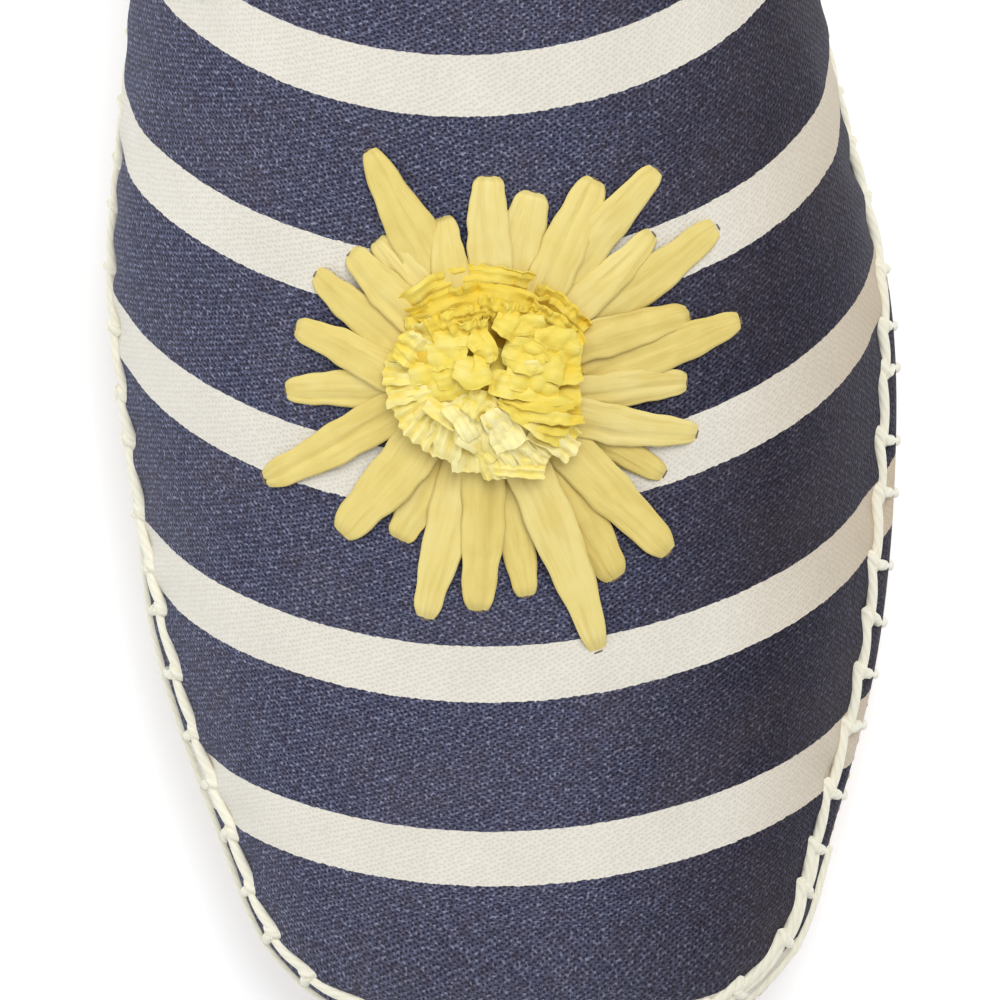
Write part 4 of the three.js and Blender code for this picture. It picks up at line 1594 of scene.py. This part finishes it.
LOBES = [
    (((-9.4, 0.8, 3.9), (-8.2, 2.4, 4.7), (-7.0, 4.0, 4.9)), 3.4, 3.6, 8, 0.3, 0.2, 0.5, 0.4),
    (((0.5, -0.8, 4.7), (1.5, 0.9, 5.2), (2.2, 2.4, 4.9)), 2.3, 2.7, 0, 0.2, 0.15, 0.5, 0.3),
    (((-2.6, -2.4, 5.5), (-0.8, -3.7, 5.9), (1.4, -4.9, 5.5)), 3.2, 3.4, 5, 0.3, 0.2, 0.4, 0.5),
    (((5.2, 8.6, 3.8), (8.2, 7.0, 3.8), (10.6, 4.2, 3.2)), 4.4, 4.0, 20, 0.35, 0.3, 0.2, 0.12),
    (((4.6, 6.6, 6.0), (7.4, 5.0, 5.7), (9.9, 2.4, 4.4)), 4.0, 4.4, 18, 0.35, 0.3, 0.3, 0.15),
    (((-9.0, 4.6, 2.8), (-6.6, 5.2, 4.9), (-4.0, 5.0, 6.4)), 3.6, 3.0, 10, 0.2, 0.3, 0.3, 0.22),
    (((-9.0, 2.6, 2.8), (-5.6, 3.2, 5.8), (-2.0, 3.2, 7.2)), 4.4, 4.4, 0, 0.1, 0.15, 0.7, 0.38),
    (((-8.8, 0.2, 2.8), (-5.4, 0.6, 5.5), (-2.4, 1.7, 6.9)), 4.2, 4.2, 0, 0.1, 0.15, 0.7, 0.3),
    (((-8.0, -1.8, 2.6), (-5.0, -1.1, 5.1), (-1.6, -0.2, 6.3)), 3.4, 3.4, 0, 0.1, 0.2, 0.5, 0.32),
    (((-3.3, 0.7, 7.0), (-1.4, 0.0, 7.7), (0.6, 0.3, 7.1)), 2.8, 3.0, -12, 0.0, 0.1, 0.8, 0.42),
    (((-1.4, 4.4, 7.2), (0.0, 2.9, 7.9), (0.3, 1.3, 7.0)), 2.4, 2.2, 10, 0.1, 0.1, 0.6, 0.32),
    (((1.2, 6.0, 7.2), (2.9, 5.5, 7.9), (4.4, 4.2, 7.1)), 2.4, 2.6, -10, 0.1, 0.15, 0.6, 0.25),
    (((2.2, 4.5, 6.5), (4.4, 4.7, 7.3), (6.8, 5.2, 6.6)), 2.6, 2.8, 12, 0.05, 0.05, 0.7, 0.3),
    (((5.4, 3.5, 6.8), (7.8, 3.0, 6.5), (10.6, 2.4, 4.4)), 3.0, 3.6, 4, 0.05, 0.05, 0.8, 0.25),
    (((2.2, 2.3, 6.6), (4.4, 1.9, 7.5), (6.8, 1.5, 7.0)), 3.0, 3.2, 6, 0.05, 0.05, 0.9, 0.36),
    (((6.2, 1.0, 6.6), (8.4, 0.6, 6.2), (10.8, 0.5, 4.4)), 3.0, 3.2, -6, 0.05, 0.05, 0.7, 0.28),
    (((2.4, -0.3, 6.5), (5.2, -0.6, 6.9), (8.6, -1.2, 5.7)), 2.8, 3.0, -6, 0.05, 0.05, 0.8, 0.4),
    (((4.6, 2.9, 7.2), (5.8, 2.2, 7.7), (6.4, 1.0, 7.2)), 1.6, 1.8, 10, 0.0, 0.05, 0.6, 0.3),
    (((0.5, -1.0, 6.5), (2.4, -1.4, 6.9), (4.4, -1.7, 6.3)), 2.6, 2.4, -8, 0.0, 0.1, 0.5, 0.42),
]
PLEATS = [
    (((1.2, -2.0, 6.3), (5.6, -2.2, 6.1), (10.6, -2.6, 4.0)), 1.2, 2.6, -20, 0.05, 0.2, 0.6, 0.3),
    (((1.6, -2.6, 6.1), (5.4, -3.3, 5.9), (9.8, -3.1, 4.2)), 1.4, 2.6, -28, 0.05, 0.2, 0.6, 0.16),
    (((1.5, -3.0, 6.0), (5.6, -4.4, 5.5), (11.0, -4.4, 3.2)), 1.4, 3.0, -20, 0.05, 0.25, 0.6, 0.34),
    (((1.7, -3.3, 5.8), (4.8, -5.2, 5.2), (9.4, -6.0, 3.2)), 1.4, 2.8, -26, 0.05, 0.25, 0.6, 0.24),
    (((3.4, -4.6, 5.4), (6.0, -6.2, 4.6), (9.6, -7.2, 2.6)), 1.4, 2.8, -20, 0.05, 0.25, 0.5, 0.5),
]
FAN = [
    (((0.6, -3.8, 5.6), (3.4, -6.7, 4.4), (7.3, -9.7, 2.2)), 2.2, 3.2, 14, 0.0, 0.32, 0.1, 0.85),
    (((0.2, -4.2, 5.4), (2.2, -7.6, 4.2), (4.8, -11.0, 1.9)), 2.6, 4.0, 12, 0.0, 0.34, 0.1, 0.95),
    (((-0.6, -4.2, 5.4), (0.2, -8.0, 4.0), (1.6, -12.0, 1.8)), 3.0, 4.4, 8, 0.0, 0.34, 0.1, 0.78),
    (((-1.6, -3.4, 5.4), (-1.8, -7.4, 4.1), (-1.9, -11.5, 1.9)), 3.2, 4.4, 8, 0.0, 0.3, 0.1, 0.92),
    (((-2.8, -3.0, 5.2), (-4.2, -6.2, 4.0), (-5.4, -9.9, 1.8)), 3.0, 4.4, 8, 0.0, 0.3, 0.1, 0.82),
    (((-4.0, -2.6, 4.8), (-6.4, -5.0, 3.5), (-8.5, -7.8, 1.7)), 3.0, 4.0, 8, 0.0, 0.34, 0.1, 0.72),
    (((-4.8, -2.0, 4.6), (-7.6, -3.2, 3.4), (-10.7, -4.9, 1.6)), 3.0, 3.8, 8, 0.0, 0.36, 0.1, 0.62),
    (((-5.6, -1.2, 4.4), (-8.6, -1.6, 3.1), (-11.8, -2.2, 1.6)), 2.8, 3.8, 8, 0.0, 0.34, 0.1, 0.66),
    (((-6.6, 0.0, 3.8), (-9.4, 0.2, 2.7), (-11.9, 0.4, 1.6)), 2.8, 3.6, 8, 0.0, 0.3, 0.1, 0.55),
    (((-7.0, 1.6, 3.6), (-9.2, 2.4, 2.7), (-11.0, 3.1, 1.7)), 2.8, 3.4, 8, 0.0, 0.3, 0.1, 0.46),
    (((-3.7, -3.3, 5.7), (-2.4, -5.1, 5.5), (-1.2, -7.4, 4.7)), 3.6, 3.2, -10, 0.0, 0.1, 0.3, 1.0),
    (((0.2, -4.4, 5.7), (1.6, -6.2, 5.3), (3.0, -8.6, 4.2)), 2.2, 4.2, 10, 0.0, 0.15, 0.2, 1.0),
    (((-6.6, -3.2, 4.4), (-4.9, -4.4, 4.9), (-3.0, -5.6, 4.6)), 2.6, 2.8, -14, 0.0, 0.15, 0.3, 0.72),
    (((-2.8, -6.8, 4.4), (-0.6, -8.4, 4.2), (1.2, -9.8, 3.2)), 2.6, 2.6, 12, 0.0, 0.2, 0.2, 0.74),
    (((5.0, -6.6, 4.3), (7.8, -7.8, 3.4), (9.8, -9.3, 1.9)), 2.2, 2.8, 0, 0.0, 0.3, 0.1, 0.85),
    (((6.0, -5.4, 4.4), (8.4, -6.4, 3.6), (10.2, -7.8, 2.2)), 2.0, 2.4, 0, 0.0, 0.3, 0.1, 0.6),
    (((0.8, -10.4, 2.6), (3.8, -10.6, 2.6), (6.6, -10.8, 2.0)), 2.6, 3.0, 0, 0.1, 0.3, 0.1, 0.62),
]
PAD_RADIUS = 11.0
PAD_DEPTH = 5.0
PAD_RINGS = 90
PAD_SPOKES = 200
SHARP_FOLD = math.radians(30)
FOLD_THICKNESS = 0.14
CURL_ROWS = 34
CURL_COLUMNS = 19


def facets(x, y, cells, tilt, seed, spread=14.0, sag=0.07):
    """A crushed surface: flat facets that meet in sharp folds."""
    rnd = np.random.RandomState(seed)
    spots = rnd.uniform(-spread, spread, (cells, 2))
    slopes = rnd.normal(0, tilt, (cells, 2))
    rise = rnd.normal(0, 0.2, cells)
    du = x[..., None] - spots[:, 0]
    dv = y[..., None] - spots[:, 1]
    cone = rise + slopes[:, 0] * du + slopes[:, 1] * dv - sag * (du**2 + dv**2)
    return cone.max(-1)


def crushed(x, y, size, seed):
    """Facets about size across, rising and falling by about a fifth of it."""
    level = facets(x / size, y / size, 260, 0.5, seed, spread=9.0, sag=0.55)
    return (level - level.mean()) * size * 0.42


def ripple(place, rnd, pitch):
    """Uneven waves: crests and hollows of uneven depth, at uneven spacings."""
    spots = np.cumsum(rnd.uniform(0.3, 0.7, 160)) * pitch - 12
    level = rnd.uniform(0.3, 1.25, 160) * (-1.0) ** np.arange(160)
    return np.interp(place, spots, level)


def flower_pad(seat):
    n, m = PAD_RINGS, PAD_SPOKES
    radius = np.linspace(0.02, 1, n) ** 0.9 * PAD_RADIUS
    turn = np.linspace(0, 2 * math.pi, m, endpoint=False)
    r, a = np.meshgrid(radius, turn, indexing="ij")
    rim = 1 + 0.03 * np.sin(a * 5 + 0.7) + 0.02 * np.sin(a * 11 + 2.0)
    x, y = r * np.cos(a) * rim, r * np.sin(a) * rim
    t = r / PAD_RADIUS
    dome = PAD_DEPTH * (1 - t**2.6) ** 0.6
    hollow = 1.6 * np.exp(-(((x - 1.6) / 1.4) ** 2 + ((y - 3.4) / 1.8) ** 2))
    high = dome - hollow + crushed(x, y, 1.5, 3) * 1.4 * np.clip((1 - t) * 6, 0, 1)
    base = np.array([canvas_height(FLOWER[0] + p, FLOWER[1] + q) for p, q in zip(x[-1], y[-1])])
    z = seat + 0.2 + high + (base - seat)[None, :] * t**2
    z[-1] = base + 0.2
    place = np.stack([FLOWER[0] + x, FLOWER[1] + y, z], -1).reshape(-1, 3)
    place = np.vstack([place, [[*FLOWER, z[0].mean()], [*FLOWER, seat - 0.2]]])
    top, under = n * m, n * m + 1
    faces = grid_faces(n, m, closed=True)
    faces += [(top, (k + 1) % m, k) for k in range(m)]
    faces += [(under, (n - 1) * m + k, (n - 1) * m + (k + 1) % m) for k in range(m)]
    uv = np.vstack([np.stack([r.ravel(), a.ravel() * 6.0], 1), [[0, 0], [12, 0]]])
    pad = new_mesh("flower_pad", place, faces, uv)
    # Painted shade: a low tone so the pad shows deep between the ribbons.
    set_tone(pad, np.full(len(place), 0.12))
    tidy_mesh(pad, merge=False)
    pad.data.set_sharp_from_angle(angle=SHARP_FOLD)
    finish_piece(pad, "raffia", pad_raffia_painted_shade, replaces="flower_centre")


def folded_ribbon(seat, rnd, path, root, end, roll, ruffle, pleat, puff, tone):
    n, m = CURL_ROWS, CURL_COLUMNS
    line = np.array(path, float)
    line[:, 2] = np.maximum(line[:, 2], 0.5)
    line = smooth_path(resample(line, n), 10)
    run = tangents(line)
    side = unit(np.cross([0, 0, 1.0], run))
    out = np.cross(run, side)
    q = np.linspace(0, 1, n)[:, None]
    k = np.linspace(-1, 1, m)[None]
    length = lengths_along(line)[-1]
    half = (root + (end - root) * np.sin(q * math.pi / 2)) / 2
    half = half * (1 + 0.07 * ripple(q * length, rnd, 2.2))
    if puff > 0.45:
        half = half * (0.62 + 0.72 * np.clip(np.sin(math.pi * (0.06 + 0.88 * q)), 0, 1) ** 0.5)
    seed = rnd.randint(9999)
    place = q * length
    wave = ripple(place + 0.35 * k, rnd, 1.5) + 0.5 * ripple(place - 0.5 * k, rnd, 0.8)
    ruffled = ruffle * wave * (0.35 + 0.65 * np.abs(k))
    count = max(2, int(round(end / 1.15)))
    phase = rnd.uniform(0, 1) + 0.15 * np.sin(q * 3 + rnd.uniform(0, 6))
    fold = np.abs(((k * count / 2 + phase) % 1) * 2 - 1) - 0.5
    fold = pleat * 1.6 * fold * (0.4 + 0.6 * q)
    crush = crushed(place - length / 2, k * half, 1.35, seed)
    crush = crush + crushed(place - length / 2, k * half, 0.62, seed + 1) * 0.6
    off = ruffled + fold + crush * (1 + 0.5 * puff) + 0.5 * puff * (1 - k**2) - 0.5 * np.clip(q - 0.8, 0, 1)
    tilt = math.radians(roll)
    across = side * math.cos(tilt) + out * math.sin(tilt)
    lift = out * math.cos(tilt) - side * math.sin(tilt)
    ragged = 0.14 * np.interp(k[0], np.linspace(-1, 1, 11), rnd.uniform(-1, 1, 11))
    grid = (
        np.array([*FLOWER, seat])
        + line[:, None]
        + across[:, None] * (k * half)[..., None]
        + lift[:, None] * off[..., None]
        + run[:, None] * (ragged[None] * q**4)[..., None]
    )
    grid[..., 2] = np.maximum(grid[..., 2], seat - 1.6)
    shift = rnd.uniform(0, 60)
    flat = np.stack(np.broadcast_arrays(place + shift, k * root + shift), -1)
    # Painted shade: the tone is deeper where the ribbon sinks and paler where it rises.
    return grid, flat, tone + rnd.uniform(-0.05, 0.05) + 0.32 * (off - off.mean())


def flower_centre():
    seat = canvas_height(*FLOWER)
    flower_pad(seat)
    rnd = np.random.RandomState(21)
    parts = {"ruffles": RUFFLES, "lobes": LOBES, "pleats": PLEATS, "fan": FAN}
    for name, rows in parts.items():
        ribbons = [folded_ribbon(seat, rnd, *row) for row in rows]
        piece = ribbon_mesh("flower_" + name, centre_raffia, ribbons, FOLD_THICKNESS)
        piece.data.set_sharp_from_angle(angle=SHARP_FOLD)


flower_centre()

# ---------------------------------------------------------------------------------------------
# Floor, light and the last lines.

floor_material, graph, shader = new_material("studio floor", 0.9, specular=0.1)
tint = graph.mix(graph.noise(graph.coordinates(), 3.0), rgb(243, 247, 251), rgb(245, 249, 253))
graph.feed(shader.inputs["Base Color"], tint)
shader.inputs["Emission Color"].default_value = (0.96, 0.98, 1, 1)
shader.inputs["Emission Strength"].default_value = 0.29
HALF_FLOOR = 3000.0
corners = [(-1, -1), (1, -1), (1, 1), (-1, 1)]
floor = new_mesh("floor", [(a * HALF_FLOOR, b * HALF_FLOOR, -0.05) for a, b in corners], [(0, 1, 2, 3)])
floor.data.materials.append(floor_material)


def softbox(name, place, target, size, power, colour=(1.0, 1.0, 1.0)):
    light = bpy.data.lights.new(name, "AREA")
    light.shape = "RECTANGLE"
    light.size, light.size_y = size
    light.energy = power
    light.color = colour
    lamp = link(name, light)
    lamp.location = place
    lamp.rotation_euler = (Vector(target) - Vector(place)).to_track_quat("-Z", "Y").to_euler()


softbox("key_softbox", (0.4, 0.6, 1.72), (0, 0, 0.03), (1.1, 1.1), 21)
softbox("left_softbox", (-1.9, -0.1, 0.8), (0, 0, 0.03), (0.9, 0.7), 6, (0.93, 0.97, 1.0))

# The room is pale, and darker towards the shoe's inner side.
world = bpy.data.worlds.new("studio")
bpy.context.scene.world = world
world.use_nodes = True
room = Graph(world.node_tree)
toward = room.split(room.coordinates("Generated"))[0]
wall = room.mix(room.ramp(toward, -0.1, 0.75), (0.62, 0.62, 0.63, 1), (0.40, 0.39, 0.39, 1))
backdrop = world.node_tree.nodes["Background"]
room.feed(backdrop.inputs["Color"], wall)
backdrop.inputs["Strength"].default_value = 1.0
bpy.context.scene.view_settings.view_transform = "Standard"
